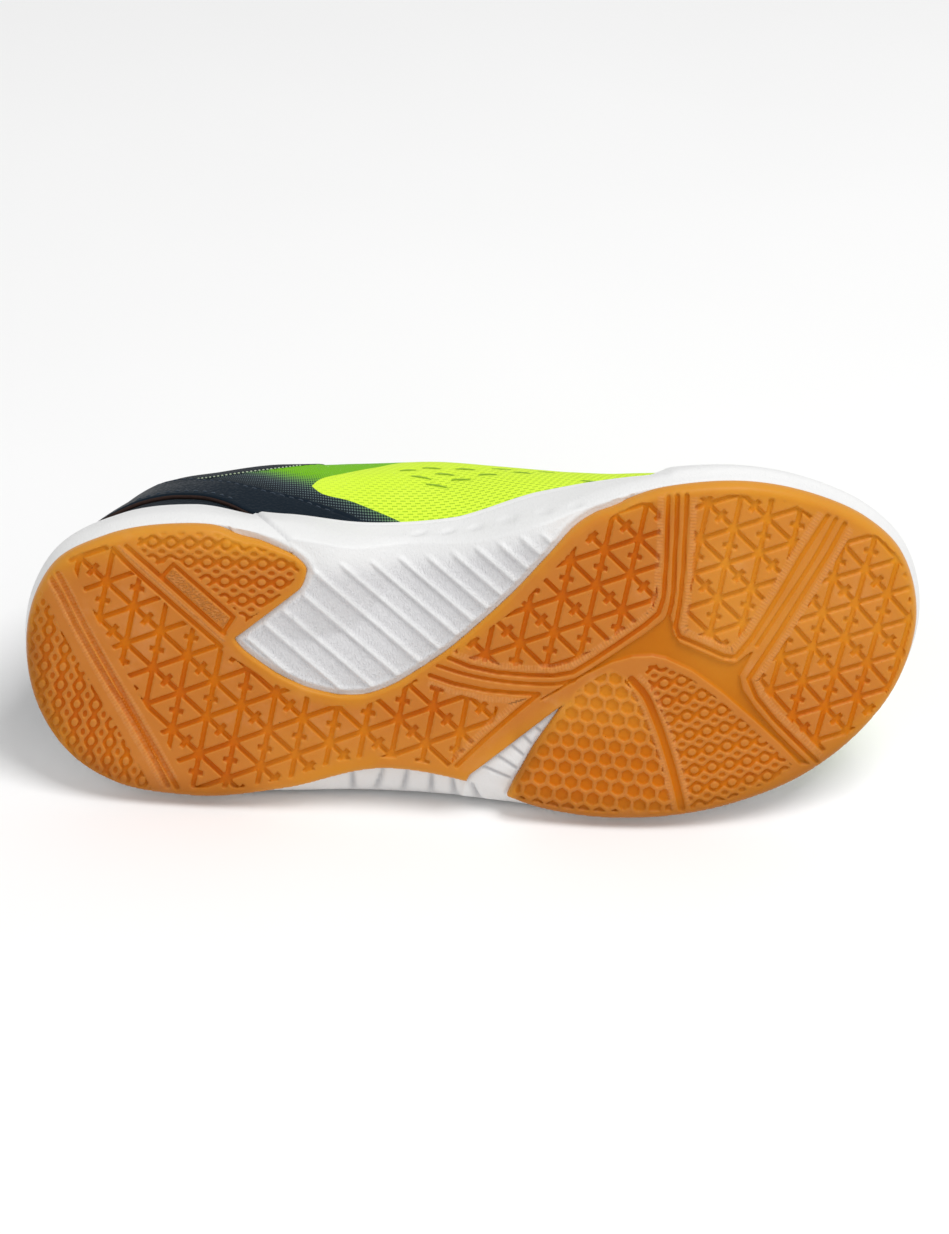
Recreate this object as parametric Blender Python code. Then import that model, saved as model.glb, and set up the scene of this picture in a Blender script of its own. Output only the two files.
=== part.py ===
"""Left indoor court shoe, junior size, lying on its outer side.

The shoe is modelled in its own frame, in millimetres: X runs from heel to
toe, Y to the outer (lateral) side, Z up from the ground under the tread.
An empty then lays it on its outer side, in metres, with +Z up.
"""
import math

import bmesh
import bpy
import numpy as np

for old in list(bpy.data.objects):
    bpy.data.objects.remove(old, do_unlink=True)

# ---------------------------------------------------------------- sizes, mm
LENGTH = 217.0            # sole, heel to toe
BALL_WIDTH = 86.0         # sole, across the ball
INSTEP_HEIGHT = 72.0      # ground to the top eyelets
HEEL_HEIGHT = 62.0        # ground to the back of the collar

WALL = 2.0                # upper: mesh, foam and lining together
COLLAR_PAD = 3.2          # extra thickness of the padded collar
OUTSOLE_THICK = 4.0       # rubber, tread to foam
EDGE_ROUND = 2.2          # rubber, rounding of the lower edge
HEEL_BEVEL = 4.5          # rise of the rubber at the back edge
HEEL_BEVEL_RUN = 20.0
TOE_SPRING = 15.0         # rise of the rubber at the toe
TOE_SPRING_FROM = 138.0
TOE_SPRING_RUN = 76.0
BED_HEEL = 13.0           # footbed above the ground under the heel
BED_BALL = 10.0           # and under the ball
RIM_WALL = 1.8            # thickness of the foam rim round the upper
SOLE_BULGE = 0.9          # swell of the foam side wall
BELLY = 0.28              # where it is widest, as a share of its height
ARCH_LIFT = 5.5           # rise of the bare foam under the inner arch
ARCH_MIDDLE = 92.0
ARCH_REACH = 46.0
INSOLE_THICK = 3.0
TONGUE_THICK = 3.6
TONGUE_RISE = 25.0        # tongue beyond the top eyelets
LACE_WIDTH = 5.0
LACE_THICK = 1.3
COUNTER_THICK = 1.1       # heel overlay standing proud
CHANNEL_DEPTH = 1.2       # smooth channels between the tread blocks
GAP = 0.3                 # between neighbours
RING = 4                  # points between two sections round the shoe
LEVELS = 9                # levels up the upper

# how it lies: turned onto its outer side, settled on sole edge and upper
LIE_ROLL = -102.51        # degrees about X: past upright, sole turned up a bit
LIE_PITCH = -3.17         # degrees about Y: heel and ball both down
LIE_SHIFT = (-107.842, -35.555, 38.825)   # mm, puts the box's bottom centre at the origin

# --------------------------------------------------- sections of the pattern
# Base pattern, graded below by LENGTH, BALL_WIDTH and INSTEP_HEIGHT.
BASE_LENGTH, BASE_BALL, BASE_INSTEP, BASE_HEEL = 217.0, 86.0, 72.0, 62.0

# Sole, one row a section: place along the shoe, inner and outer edge of the
# foam, how far the rubber is tucked under it on the outer side, height of the
# foam rim on the inner and outer side, inset of the upper's foot.
SOLE_COLUMNS = ("x", "med", "lat", "tuck", "rim_med", "rim_lat", "inset")
SOLE_ROWS = (
    (2.0, -12.8, 18.2, 0.0, 24.0, 24.0, 5.4),
    (8.0, -22.3, 27.2, 0.0, 23.5, 23.5, 5.4),
    (20.0, -28.9, 35.2, 0.0, 22.6, 23.5, 5.5),
    (40.0, -31.8, 39.0, 0.0, 22.4, 23.5, 5.5),
    (62.0, -28.6, 39.6, 2.8, 20.4, 23.0, 4.8),
    (85.0, -24.6, 39.8, 8.2, 20.3, 23.0, 4.2),
    (105.0, -25.8, 41.2, 6.2, 20.2, 22.5, 4.2),
    (124.0, -32.0, 43.6, 1.4, 22.2, 22.0, 4.6),
    (139.0, -37.4, 44.8, 0.0, 22.4, 22.0, 5.0),
    (152.0, -40.6, 45.0, 0.0, 22.4, 22.0, 5.6),
    (157.0, -41.3, 44.7, 0.0, 27.0, 27.0, 5.8),
    (174.0, -41.2, 41.8, 0.0, 28.8, 28.8, 6.3),
    (190.0, -36.6, 36.0, 0.0, 31.4, 31.4, 6.2),
    (203.0, -29.2, 26.8, 0.0, 33.4, 33.4, 6.5),
    (211.0, -21.0, 17.3, 0.0, 34.4, 34.4, 6.6),
)
HEEL_TIP = dict(x=-1.0, y=2.0, rim=24.2, inset=5.4)
TOE_TIP = dict(x=216.6, y=-2.6, rim=34.8, inset=6.8)

# Top edge of the upper and the curve of each rib that climbs to it: where
# the edge runs, the lean of the rib there (degrees inward from upright) with
# its reach, the reach of the rib at the foot with its flare outward on the
# inner and outer side, and the share of collar padding.
TOP_COLUMNS = ("x", "med", "lat", "z_med", "z_lat", "lean", "fall",
               "rise", "flare_med", "flare_lat", "pad")
TOP_ROWS = (
    (15.5, -8.6, 10.6, 61.8, 61.8, 5.0, 14.0, 18.0, 12.0, 12.0, 1.0),
    (20.5, -15.4, 17.4, 60.0, 60.0, 6.0, 14.0, 18.0, 11.0, 11.0, 1.0),
    (30.0, -22.6, 24.0, 56.2, 55.6, 8.0, 14.0, 18.0, 10.0, 9.0, 1.0),
    (45.0, -27.0, 28.4, 52.6, 51.0, 10.0, 14.0, 18.0, 10.0, 7.0, 1.0),
    (60.0, -27.8, 29.0, 56.5, 55.0, 16.0, 15.0, 19.0, 13.0, 4.0, 1.0),
    (73.0, -24.4, 24.6, 65.5, 64.6, 40.0, 21.0, 22.0, 20.0, 2.0, 0.6),
    (82.0, -18.0, 17.8, 71.6, 71.2, 60.0, 27.0, 24.0, 23.0, 2.0, 0.1),
    (98.0, -14.0, 13.8, 67.6, 67.2, 66.0, 28.0, 24.0, 19.0, 3.0, 0.0),
    (111.0, -12.4, 12.2, 63.0, 62.6, 67.0, 27.0, 22.0, 8.0, 4.0, 0.0),
    (121.0, -11.4, 11.2, 59.4, 59.2, 68.0, 28.0, 20.0, 3.0, 3.0, 0.0),
    (128.0, -10.6, 10.4, 57.0, 56.8, 71.0, 29.0, 20.0, 2.0, 2.0, 0.0),
    (136.0, -8.8, 8.6, 54.4, 54.3, 76.0, 33.0, 20.0, 1.0, 2.0, 0.0),
    (140.5, -6.0, 5.7, 52.9, 52.9, 80.0, 38.0, 21.0, 0.0, 1.0, 0.0),
    (142.4, -3.4, 3.0, 52.2, 52.2, 82.0, 42.0, 22.0, 0.0, 0.0, 0.0),
    (142.9, -1.7, 1.2, 52.0, 52.0, 83.0, 44.0, 23.0, 0.0, 0.0, 0.0),
)
HEEL_TOP = dict(x=14.0, y=1.0, z=62.0, lean=5.0, fall=14.0, rise=18.0,
                flare=12.0, pad=1.0)
TOE_TOP = dict(x=143.0, y=-0.2, z=52.0, lean=83.0, fall=45.0, rise=23.0,
               flare=0.0, pad=0.0)

# Rubber cut away: the bare arch (from the inner edge round and back to it),
# the notch in the outer edge, and the smooth channels of the forefoot.
CUT_COLUMNS = ("x", "y")
ARCH_ROWS = (
    (67.8, -21.2), (66.6, -16.6), (62.8, -13.2), (52.8, -5.2), (50.3, -3.0),
    (52.7, 0.3), (59.8, 5.8), (67.2, 9.7), (75.0, 11.7), (82.0, 11.5),
    (89.5, 8.4), (102.1, -0.5), (116.6, -14.2), (130.8, -30.4),
    (137.9, -37.0), (141.0, -50.0), (48.0, -50.0), (50.5, -31.6),
    (57.7, -28.4), (64.6, -24.8),
)
NOTCH_ROWS = ((129.5, 14.2), (122.3, 25.4), (118.0, 34.0), (114.5, 43.0),
              (112.0, 52.0), (98.0, 52.0), (107.0, 32.9))
CHANNEL_ROWS = (
    ((128.0, 8.4), (153.2, -8.6), (153.2, -46.0), (159.8, -46.0),
     (159.0, -4.0), (171.0, 3.6), (173.4, 1.6), (192.6, -36.0),
     (196.4, -33.4), (175.6, 8.4), (194.6, 30.4), (190.6, 33.4),
     (171.4, 9.6), (159.0, 3.0), (146.4, 2.8), (131.0, 12.0)),
)

# Heel overlay, by section: how high its lower and upper edge run, as shares
# of the way from the foam rim to the collar.
COUNTER_COLUMNS = ("row", "low", "high")
COUNTER_ROWS = ((0.0, 0.13, 0.80), (2.0, 0.13, 0.78), (3.0, 0.13, 0.70),
                (4.0, 0.12, 0.56), (4.7, 0.04, 0.40), (5.3, 0.0, 0.24),
                (5.9, 0.0, 0.06))

# Eyelet pairs, by section along the throat, and their inset from its edge
# as a share of the rib.
EYELET_ROWS = (7.35, 8.15, 8.95, 9.9, 11.1)
EYELET_INSET = 0.10


# ------------------------------------------------------------ shape functions
def smooth(a):
    a = np.clip(a, 0.0, 1.0)
    return a * a * (3.0 - 2.0 * a)


def ground(x):
    """Height of the tread over the ground: flat, bevelled heel, toe spring."""
    heel = np.clip((HEEL_BEVEL_RUN - x) / HEEL_BEVEL_RUN, 0.0, 2.0)
    toe = np.clip((x - TOE_SPRING_FROM) / TOE_SPRING_RUN, 0.0, 2.0)
    return HEEL_BEVEL * heel ** 2 + TOE_SPRING * toe ** 2


def bed(x):
    """Height of the footbed."""
    drop = smooth((x - 30.0) / 95.0)
    toe = np.clip((x - TOE_SPRING_FROM) / TOE_SPRING_RUN, 0.0, 2.0)
    return BED_HEEL + (BED_BALL - BED_HEEL) * drop + TOE_SPRING * toe ** 2


def foam_under(x, y):
    """Height of the foam's underside, lifted under the inner arch."""
    along = np.clip(1.0 - np.abs(x - ARCH_MIDDLE) / ARCH_REACH, 0.0, 1.0)
    across = np.clip((12.0 - y) / 37.0, 0.0, 1.2)
    lift = ARCH_LIFT * smooth(along) * across ** 1.3
    return ground(x) + OUTSOLE_THICK + lift


def pattern():
    """Knots round the shoe: heel tip, inner rows, toe tip, outer rows back."""
    kx, ky = LENGTH / BASE_LENGTH, BALL_WIDTH / BASE_BALL
    kz = INSTEP_HEIGHT / BASE_INSTEP
    kh = HEEL_HEIGHT / BASE_HEEL
    out = []

    def knot(sx, sy, rim, inset, tx, ty, tz, lean, fall, rise, flare, pad,
             tuck):
        share = min(max((tx - 30.0) / 40.0, 0.0), 1.0)
        tz = tz * (kh + (kz - kh) * share)
        out.append((sx * kx, sy * ky, rim, inset, tx * kx, ty * ky, tz,
                    lean, fall, rise, flare, pad, tuck))

    def side(s, t, name):
        knot(s["x"], s[name], s["rim_" + name], s["inset"], t["x"], t[name],
             t["z_" + name], t["lean"], t["fall"], t["rise"],
             t["flare_" + name], t["pad"], s["tuck"] * (name == "lat"))

    rows = [(dict(zip(SOLE_COLUMNS, s)), dict(zip(TOP_COLUMNS, t)))
            for s, t in zip(SOLE_ROWS, TOP_ROWS)]
    for tip, top in ((HEEL_TIP, HEEL_TOP), (TOE_TIP, TOE_TOP)):
        knot(tip["x"], tip["y"], tip["rim"], tip["inset"], top["x"],
             top["y"], top["z"], top["lean"], top["fall"], top["rise"],
             top["flare"], top["pad"], 0.0)
        if tip is HEEL_TIP:
            for s, t in rows:
                side(s, t, "med")
        else:
            for s, t in reversed(rows):
                side(s, t, "lat")
    return np.array(out)


KNOTS = pattern()
COUNT = len(KNOTS)
ROWS = len(SOLE_ROWS)
_step = np.linalg.norm(np.roll(KNOTS[:, :2], -1, 0) - KNOTS[:, :2], axis=1)
TAU = np.concatenate(([0.0], np.cumsum(_step)[:-1]))
AROUND = float(np.sum(_step))


def loop(tau):
    """All columns of the pattern at places tau round the shoe."""
    h = _step
    d = (np.roll(KNOTS, -1, 0) - KNOTS) / h[:, None]
    hp, dp = np.roll(h, 1), np.roll(d, 1, 0)
    m = (dp * h[:, None] + d * hp[:, None]) / (h + hp)[:, None]
    t = np.asarray(tau, float) % AROUND
    k = np.clip(np.searchsorted(TAU, t, side="right") - 1, 0, COUNT - 1)
    n = (k + 1) % COUNT
    s = ((t - TAU[k]) / h[k])[:, None]
    hk = h[k][:, None]
    return ((2 * s ** 3 - 3 * s ** 2 + 1) * KNOTS[k]
            + (s ** 3 - 2 * s ** 2 + s) * hk * m[k]
            + (3 * s ** 2 - 2 * s ** 3) * KNOTS[n]
            + (s ** 3 - s ** 2) * hk * m[n])


def at_row(row, side):
    """Place round the shoe of a section (rows count from the heel tip)."""
    row = np.asarray(row, float)
    index = row if side == "med" else COUNT - row
    ends = np.append(TAU, AROUND)
    return np.interp(index, np.arange(COUNT + 1), ends)


def outline(tau):
    """Sole edge and its outward normal."""
    e = 0.05
    p = loop(tau)[:, :2]
    d = loop(np.asarray(tau) + e)[:, :2] - loop(np.asarray(tau) - e)[:, :2]
    n = np.stack((d[:, 1], -d[:, 0]), 1)
    return p, n / np.linalg.norm(n, axis=1)[:, None]


def sole_base(tau):
    """Edge of the rubber and of the foam's underside."""
    p, n = outline(tau)
    return p - n * np.maximum(loop(tau)[:, 12:13], 0.0), n


def foam_side(tau, share):
    """Outer side of the foam, from its underside (0) to the rim (1): it
    swells out over the rubber, then climbs to the rim round the upper."""
    edge, n = outline(tau)
    base, _ = sole_base(tau)
    level = rim_level(tau)
    crown = skin(tau, level) + skin_normal(tau, level) * (GAP + 0.1)
    crown[:, :2] += n * RIM_WALL
    low = foam_under(base[:, 0], base[:, 1])
    reach = np.sum((crown[:, :2] - edge) * n, 1)
    drift = crown[:, :2] - edge - n * reach[:, None]
    tuck = np.sum((edge - base) * n, 1)
    if share < BELLY:
        turn = math.sin(0.5 * math.pi * share / BELLY)
        off = -tuck + (tuck + SOLE_BULGE) * turn
    else:
        turn = (share - BELLY) / (1.0 - BELLY)
        off = SOLE_BULGE + (reach - SOLE_BULGE) * turn ** 1.3
    out = np.zeros((len(edge), 3))
    out[:, :2] = edge + n * off[:, None] + drift * share
    out[:, 2] = low + (crown[:, 2] - low) * share
    return out


def rib(tau):
    """The four control points of the rib at each place round the shoe."""
    c = loop(tau)
    p, n = outline(tau)
    foot = np.zeros((len(c), 3))
    foot[:, :2] = p - n * c[:, 3:4]
    foot[:, 2] = bed(foot[:, 0])
    top = c[:, 4:7]
    away = (foot - top)[:, :2] + 20.0 * n
    away /= np.linalg.norm(away, axis=1)[:, None]
    lean, flare = np.radians(c[:, 7]), np.radians(c[:, 10])
    low = foot.copy()
    low[:, :2] += n * (c[:, 9] * np.sin(flare))[:, None]
    low[:, 2] += c[:, 9] * np.cos(flare)
    high = top.copy()
    high[:, :2] += away * (c[:, 8] * np.sin(lean))[:, None]
    high[:, 2] -= c[:, 8] * np.cos(lean)
    return foot, low, high, top


def skin(tau, v):
    """Outer surface of the upper: v is 0 at the foot and 1 at the top edge."""
    a, b, c, d = rib(tau)
    v = np.broadcast_to(np.asarray(v, float), (len(a),))[:, None]
    w = 1.0 - v
    return w ** 3 * a + 3 * w * w * v * b + 3 * w * v * v * c + v ** 3 * d


def skin_normal(tau, v):
    e = 0.05
    tau = np.asarray(tau, float)
    v = np.broadcast_to(np.asarray(v, float), tau.shape)
    du = skin(tau + e, v) - skin(tau - e, v)
    dv = skin(tau, v + 0.002) - skin(tau, v - 0.002)
    n = np.cross(du, dv)
    return n / np.linalg.norm(n, axis=1)[:, None]


def wall(tau, v):
    pad = np.clip(loop(tau)[:, 11], 0.0, 1.0)
    return WALL + COLLAR_PAD * pad * smooth((v - 0.5) / 0.32)


def rim_height(tau):
    """Height of the foam rim, straight from section to section."""
    return np.interp(np.asarray(tau) % AROUND, np.append(TAU, AROUND),
                     np.append(KNOTS[:, 2], KNOTS[0, 2]))


def rim_level(tau):
    """The rib's v where it leaves the foam rim."""
    want = rim_height(tau)
    lo, hi = np.zeros(len(want)), np.full(len(want), 0.9)
    for _ in range(40):
        mid = 0.5 * (lo + hi)
        up = skin(tau, mid)[:, 2] > want
        hi, lo = np.where(up, mid, hi), np.where(up, lo, mid)
    return 0.5 * (lo + hi)


def places(per_row):
    """Places round the shoe, the same number between every two sections."""
    ends = np.append(TAU, AROUND)
    return np.concatenate([np.linspace(ends[k], ends[k + 1], per_row,
                                       endpoint=False)
                           for k in range(COUNT)])


# ------------------------------------------------------------- mesh building
class Net:
    """Points and faces of one piece, in millimetres."""

    def __init__(self):
        self.points, self.faces = [], []

    def add(self, pts):
        start = len(self.points)
        self.points.extend([tuple(p) for p in pts])
        return list(range(start, len(self.points)))

    def strip(self, a, b, closed=True):
        n = len(a)
        for i in range(n if closed else n - 1):
            j = (i + 1) % n
            self.faces.append((a[i], a[j], b[j], b[i]))

    def span(self, ring, shares, height):
        """Fill a ring round the shoe with rows across, from the inner to the
        outer side; height gives z at a plan point."""
        n = len(ring)
        half = n // 2
        inner = [s for s in shares if 0.0 < s < 1.0]
        rows = []
        for i in range(1, half):
            a = np.array(self.points[ring[i]])
            b = np.array(self.points[ring[n - i]])
            pts = [a + (b - a) * s for s in inner]
            pts = [(p[0], p[1], float(height(p[0], p[1]))) for p in pts]
            rows.append([ring[i]] + self.add(pts) + [ring[n - i]])
        for tip, row in ((ring[0], rows[0]), (ring[half], rows[-1])):
            for a, b in zip(row, row[1:]):
                self.faces.append((tip, a, b))
        for p, q in zip(rows, rows[1:]):
            for i in range(len(p) - 1):
                self.faces.append((p[i], p[i + 1], q[i + 1], q[i]))

    def build(self, name, material, parent):
        mesh = bpy.data.meshes.new(name)
        mesh.from_pydata([tuple(0.001 * c for c in p) for p in self.points],
                         [], self.faces)
        bm = bmesh.new()
        bm.from_mesh(mesh)
        bmesh.ops.recalc_face_normals(bm, faces=bm.faces)
        bm.to_mesh(mesh)
        bm.free()
        mesh.shade_smooth()
        mesh.set_sharp_from_angle(angle=math.radians(35.0))
        ob = bpy.data.objects.new(name, mesh)
        bpy.context.scene.collection.objects.link(ob)
        if material is not None:
            mesh.materials.append(material)
        ob.parent = parent
        return ob


def prism(name, rows, low, high, parent):
    """A cutter: a closed outline in plan, from low to high."""
    net = Net()
    a = net.add([(x, y, low) for x, y in rows])
    b = net.add([(x, y, high) for x, y in rows])
    net.strip(a, b)
    net.faces.append(tuple(a))
    net.faces.append(tuple(b))
    ob = net.build(name, None, parent)
    ob.hide_render = True
    ob.display_type = "WIRE"
    return ob


def rounded(rows, steps=3):
    """A smooth closed outline through the rows of a cut."""
    p = np.array(rows)
    out = []
    for i in range(len(p)):
        a, b, c, d = p[i - 1], p[i], p[(i + 1) % len(p)], p[(i + 2) % len(p)]
        for s in np.linspace(0.0, 1.0, steps, endpoint=False):
            m0, m1 = 0.35 * (c - a), 0.35 * (d - b)
            out.append((2 * s ** 3 - 3 * s ** 2 + 1) * b
                       + (s ** 3 - 2 * s ** 2 + s) * m0
                       + (3 * s ** 2 - 2 * s ** 3) * c + (s ** 3 - s ** 2) * m1)
    return [(float(q[0]), float(q[1])) for q in out]


def cut(ob, cutter):
    mod = ob.modifiers.new(cutter.name, "BOOLEAN")
    mod.operation = "DIFFERENCE"
    mod.solver = "EXACT"
    mod.object = cutter


def material(name, colour, rough):
    mat = bpy.data.materials.new(name)
    mat.use_nodes = True
    bsdf = mat.node_tree.nodes["Principled BSDF"]
    bsdf.inputs["Base Color"].default_value = (*colour, 1.0)
    bsdf.inputs["Roughness"].default_value = rough
    bsdf.inputs["Metallic"].default_value = 0.0
    mat.diffuse_color = (*colour, 1.0)
    return mat


GUM = material("gum_rubber", (0.53, 0.15, 0.015), 0.45)
FOAM = material("white_foam", (0.88, 0.88, 0.87), 0.6)
MESH = material("lime_mesh", (0.67, 0.92, 0.06), 0.75)
NAVY = material("navy_synthetic", (0.02, 0.03, 0.045), 0.5)
SOCK = material("sock_liner", (0.03, 0.035, 0.045), 0.9)
PADDED = material("tongue_mesh", (0.03, 0.04, 0.05), 0.85)
CORD = material("lace_weave", (0.66, 0.9, 0.07), 0.8)

# --------------------------------------------------------------- the pieces
SHOE = bpy.data.objects.new("shoe_frame", None)
bpy.context.scene.collection.objects.link(SHOE)
SHOE.rotation_mode = "XYZ"
SHOE.rotation_euler = (math.radians(LIE_ROLL), math.radians(LIE_PITCH), 0.0)
SHOE.location = tuple(0.001 * c for c in LIE_SHIFT)

PLACES = places(RING)


def make_upper():
    net = Net()
    vs = np.linspace(0.0, 1.0, LEVELS)
    outer = [net.add(skin(PLACES, v)) for v in vs]
    inner = [net.add(skin(PLACES, v)
                     - skin_normal(PLACES, v) * wall(PLACES, v)[:, None])
             for v in vs]
    for k in range(LEVELS - 1):
        net.strip(outer[k], outer[k + 1])
        net.strip(inner[k], inner[k + 1])
    net.strip(outer[0], inner[0])
    net.strip(outer[-1], inner[-1])
    return net.build("upper", MESH, SHOE)


def make_midsole():
    net = Net()
    level = rim_level(PLACES)
    # inner wall of the cup, off the upper by the gap, then the rim
    cup = []
    for share in (0.0, 0.35, 0.7, 1.0):
        v = level * share
        cup.append(skin(PLACES, v) + skin_normal(PLACES, v) * (GAP + 0.1))
    floor = cup[0].copy()
    floor[:, 2] = bed(floor[:, 0]) - GAP
    cup[0][:, 2] = np.maximum(cup[0][:, 2], floor[:, 2] + 0.6)
    side = [foam_side(PLACES, share) for share in (1.0, 0.7, BELLY, 0.1, 0.0)]
    rings = [net.add(r) for r in [floor] + cup + side]
    for a, b in zip(rings, rings[1:]):
        net.strip(a, b)
    net.span(rings[0], (0.0, 0.25, 0.5, 0.75, 1.0),
             lambda x, y: bed(x) - GAP)
    net.span(rings[-1], (0.0, 0.08, 0.25, 0.5, 0.75, 1.0), foam_under)
    return net.build("midsole", FOAM, SHOE)


def make_outsole():
    net = Net()
    edge, n = sole_base(PLACES)
    top = np.column_stack((edge, foam_under(edge[:, 0], edge[:, 1]) - GAP))
    mid = np.column_stack((edge, ground(edge[:, 0]) + EDGE_ROUND))
    low = edge - n * EDGE_ROUND * 0.3
    low = np.column_stack((low, ground(low[:, 0]) + EDGE_ROUND * 0.3))
    flat = edge - n * EDGE_ROUND
    flat = np.column_stack((flat, ground(flat[:, 0])))
    rings = [net.add(r) for r in (top, mid, low, flat)]
    for a, b in zip(rings, rings[1:]):
        net.strip(a, b)
    net.span(rings[0], (0.0, 0.08, 0.25, 0.5, 0.75, 1.0),
             lambda x, y: foam_under(x, y) - GAP)
    net.span(rings[-1], (0.0, 0.5, 1.0), lambda x, y: ground(x))
    ob = net.build("outsole", GUM, SHOE)
    cut(ob, prism("cut_arch", rounded(ARCH_ROWS), -5.0, 40.0, SHOE))
    cut(ob, prism("cut_notch", NOTCH_ROWS, -5.0, 40.0, SHOE))
    for i, rows in enumerate(CHANNEL_ROWS):
        add = Net()
        pts = np.array(rows)
        rise = ground(pts[:, 0]) + CHANNEL_DEPTH
        a = add.add(np.column_stack((pts, rise - 6.0)))
        b = add.add(np.column_stack((pts, rise)))
        add.strip(a, b)
        add.faces.append(tuple(a))
        add.faces.append(tuple(b))
        c = add.build("cut_channel_%d" % i, None, SHOE)
        c.hide_render = True
        c.display_type = "WIRE"
        cut(ob, c)
    return ob


def make_insole():
    net = Net()
    off = WALL + GAP + 0.3
    c = loop(PLACES)
    rise, flare = c[:, 9], np.radians(c[:, 10])
    rings = []
    for lift in (0.0, INSOLE_THICK):
        v = (lift - off * np.sin(flare)) / (3.0 * rise * np.cos(flare))
        v = np.maximum(v, 0.0)
        p = skin(PLACES, v) - skin_normal(PLACES, v) * off
        p[:, 2] = bed(p[:, 0]) + lift
        rings.append(net.add(p))
    net.strip(rings[0], rings[1])
    net.span(rings[0], (0.0, 0.5, 1.0), lambda x, y: bed(x))
    net.span(rings[1], (0.0, 0.5, 1.0), lambda x, y: bed(x) + INSOLE_THICK)
    return net.build("insole", SOCK, SHOE)


def throat_section(row, tuck, count=3, mid=3):
    """Points across the throat at a section, under the upper's edges."""
    side = {}
    for name in ("med", "lat"):
        tau = np.full(count, at_row(row, name))
        v = 1.0 - tuck * np.linspace(1.0, 0.0, count)
        off = wall(tau, v) + GAP + 0.4
        side[name] = skin(tau, v) - skin_normal(tau, v) * off[:, None]
    a, b = side["med"][-1], side["lat"][-1]
    slope = side["med"][-1] - side["med"][-2]
    tilt = slope[2] / np.linalg.norm(slope[:2])
    across = np.linalg.norm((b - a)[:2])
    bridge = []
    for s in np.linspace(0.0, 1.0, mid + 2)[1:-1]:
        p = a + (b - a) * s
        p[2] += tilt * across * s * (1.0 - s) * 0.9
        bridge.append(p)
    return np.vstack([side["med"], bridge, side["lat"][::-1]])


def make_tongue():
    net = Net()
    sections = [throat_section(r, k) for r, k in
                ((13.0, 0.10), (12.0, 0.12), (11.0, 0.16), (10.0, 0.18),
                 (9.0, 0.18), (8.3, 0.17), (7.7, 0.14))]
    last, before = sections[-1], sections[-2]
    run = (last - before).mean(0)
    run /= np.linalg.norm(run)
    centre = last.mean(0)
    crest = last[:, 2].max()
    for share, wide in ((0.3, 0.70), (0.65, 0.72), (1.0, 0.80)):
        p = last.copy()
        p[:, 2] = crest + (p[:, 2] - crest) * (1.0 - 0.6 * share)
        p[:, 0] = centre[0] + (p[:, 0] - centre[0]) * (1.0 - 0.8 * share)
        p[:, 1] = centre[1] + (p[:, 1] - centre[1]) * wide
        p += run * TONGUE_RISE * share
        p[:, 2] += 2.5 * share ** 2
        sections.append(p)
    top = np.array(sections)
    # thickness straight into the shoe, thinner at the rim of the sheet
    du = np.gradient(top, axis=0)
    dv = np.gradient(top, axis=1)
    n = np.cross(du, dv)
    n /= np.linalg.norm(n, axis=2)[..., None]
    n[n[..., 2] > 0] *= -1.0
    thick = np.full(top.shape[:2], TONGUE_THICK)
    thick[:, 0] = thick[:, -1] = TONGUE_THICK * 0.5
    thick[0] = thick[-1] = TONGUE_THICK * 0.5
    under = top + n * thick[..., None]
    a = [net.add(r) for r in top]
    b = [net.add(r) for r in under]
    for k in range(len(a) - 1):
        net.strip(a[k], a[k + 1], closed=False)
        net.strip(b[k], b[k + 1], closed=False)
    rim_a = a[0] + [r[-1] for r in a[1:-1]] + a[-1][::-1] + \
        [r[0] for r in a[-2:0:-1]]
    rim_b = b[0] + [r[-1] for r in b[1:-1]] + b[-1][::-1] + \
        [r[0] for r in b[-2:0:-1]]
    net.strip(rim_a, rim_b)
    return net.build("tongue", PADDED, SHOE)


def eyelet(row, side):
    tau = np.array([at_row(row, side)])
    v = np.array([1.0 - EYELET_INSET])
    return skin(tau, v)[0], skin_normal(tau, v)[0]


def lace_bar(row_a, row_b, side_a, side_b, over):
    """One flat run of lace from an eyelet over the throat to another; over
    is its place in the pile where runs cross."""
    lift = GAP + 0.5 + 0.5 * LACE_THICK + 0.17 * over
    path, up = [], []
    for row, side, v in ((row_a, side_a, 1.0 - EYELET_INSET),
                         (row_a, side_a, 1.0)):
        tau = np.array([at_row(row, side)])
        n = skin_normal(tau, v)[0]
        path.append(skin(tau, v)[0] + n * lift)
        up.append(n)
    tail, tail_up = [], []
    for row, side, v in ((row_b, side_b, 1.0),
                         (row_b, side_b, 1.0 - EYELET_INSET)):
        tau = np.array([at_row(row, side)])
        n = skin_normal(tau, v)[0]
        tail.append(skin(tau, v)[0] + n * lift)
        tail_up.append(n)
    mid = 0.5 * (path[-1] + tail[0]) + np.array((0.0, 0.0, 1.6))
    mid_up = up[-1] + tail_up[0]
    path += [mid] + tail
    up += [mid_up / np.linalg.norm(mid_up)] + tail_up
    path, up = np.array(path), np.array(up)
    along = np.gradient(path, axis=0)
    along /= np.linalg.norm(along, axis=1)[:, None]
    # ends run on a little, so that two runs meeting at an eyelet join
    path[0] -= along[0] * (1.3 + 0.3 * over)
    path[-1] += along[-1] * (1.3 + 0.3 * over)
    wide = np.cross(along, up)
    wide /= np.linalg.norm(wide, axis=1)[:, None]
    up = np.cross(wide, along)
    net = Net()
    w, t = 0.5 * LACE_WIDTH, 0.5 * LACE_THICK
    rings = [net.add([p + a * w + b * t, p - a * w + b * t,
                      p - a * w - b * t, p + a * w - b * t])
             for p, a, b in zip(path, wide, up)]
    for a, b in zip(rings, rings[1:]):
        net.strip(a, b)
    net.faces.append(tuple(rings[0]))
    net.faces.append(tuple(rings[-1]))
    return net


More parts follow.
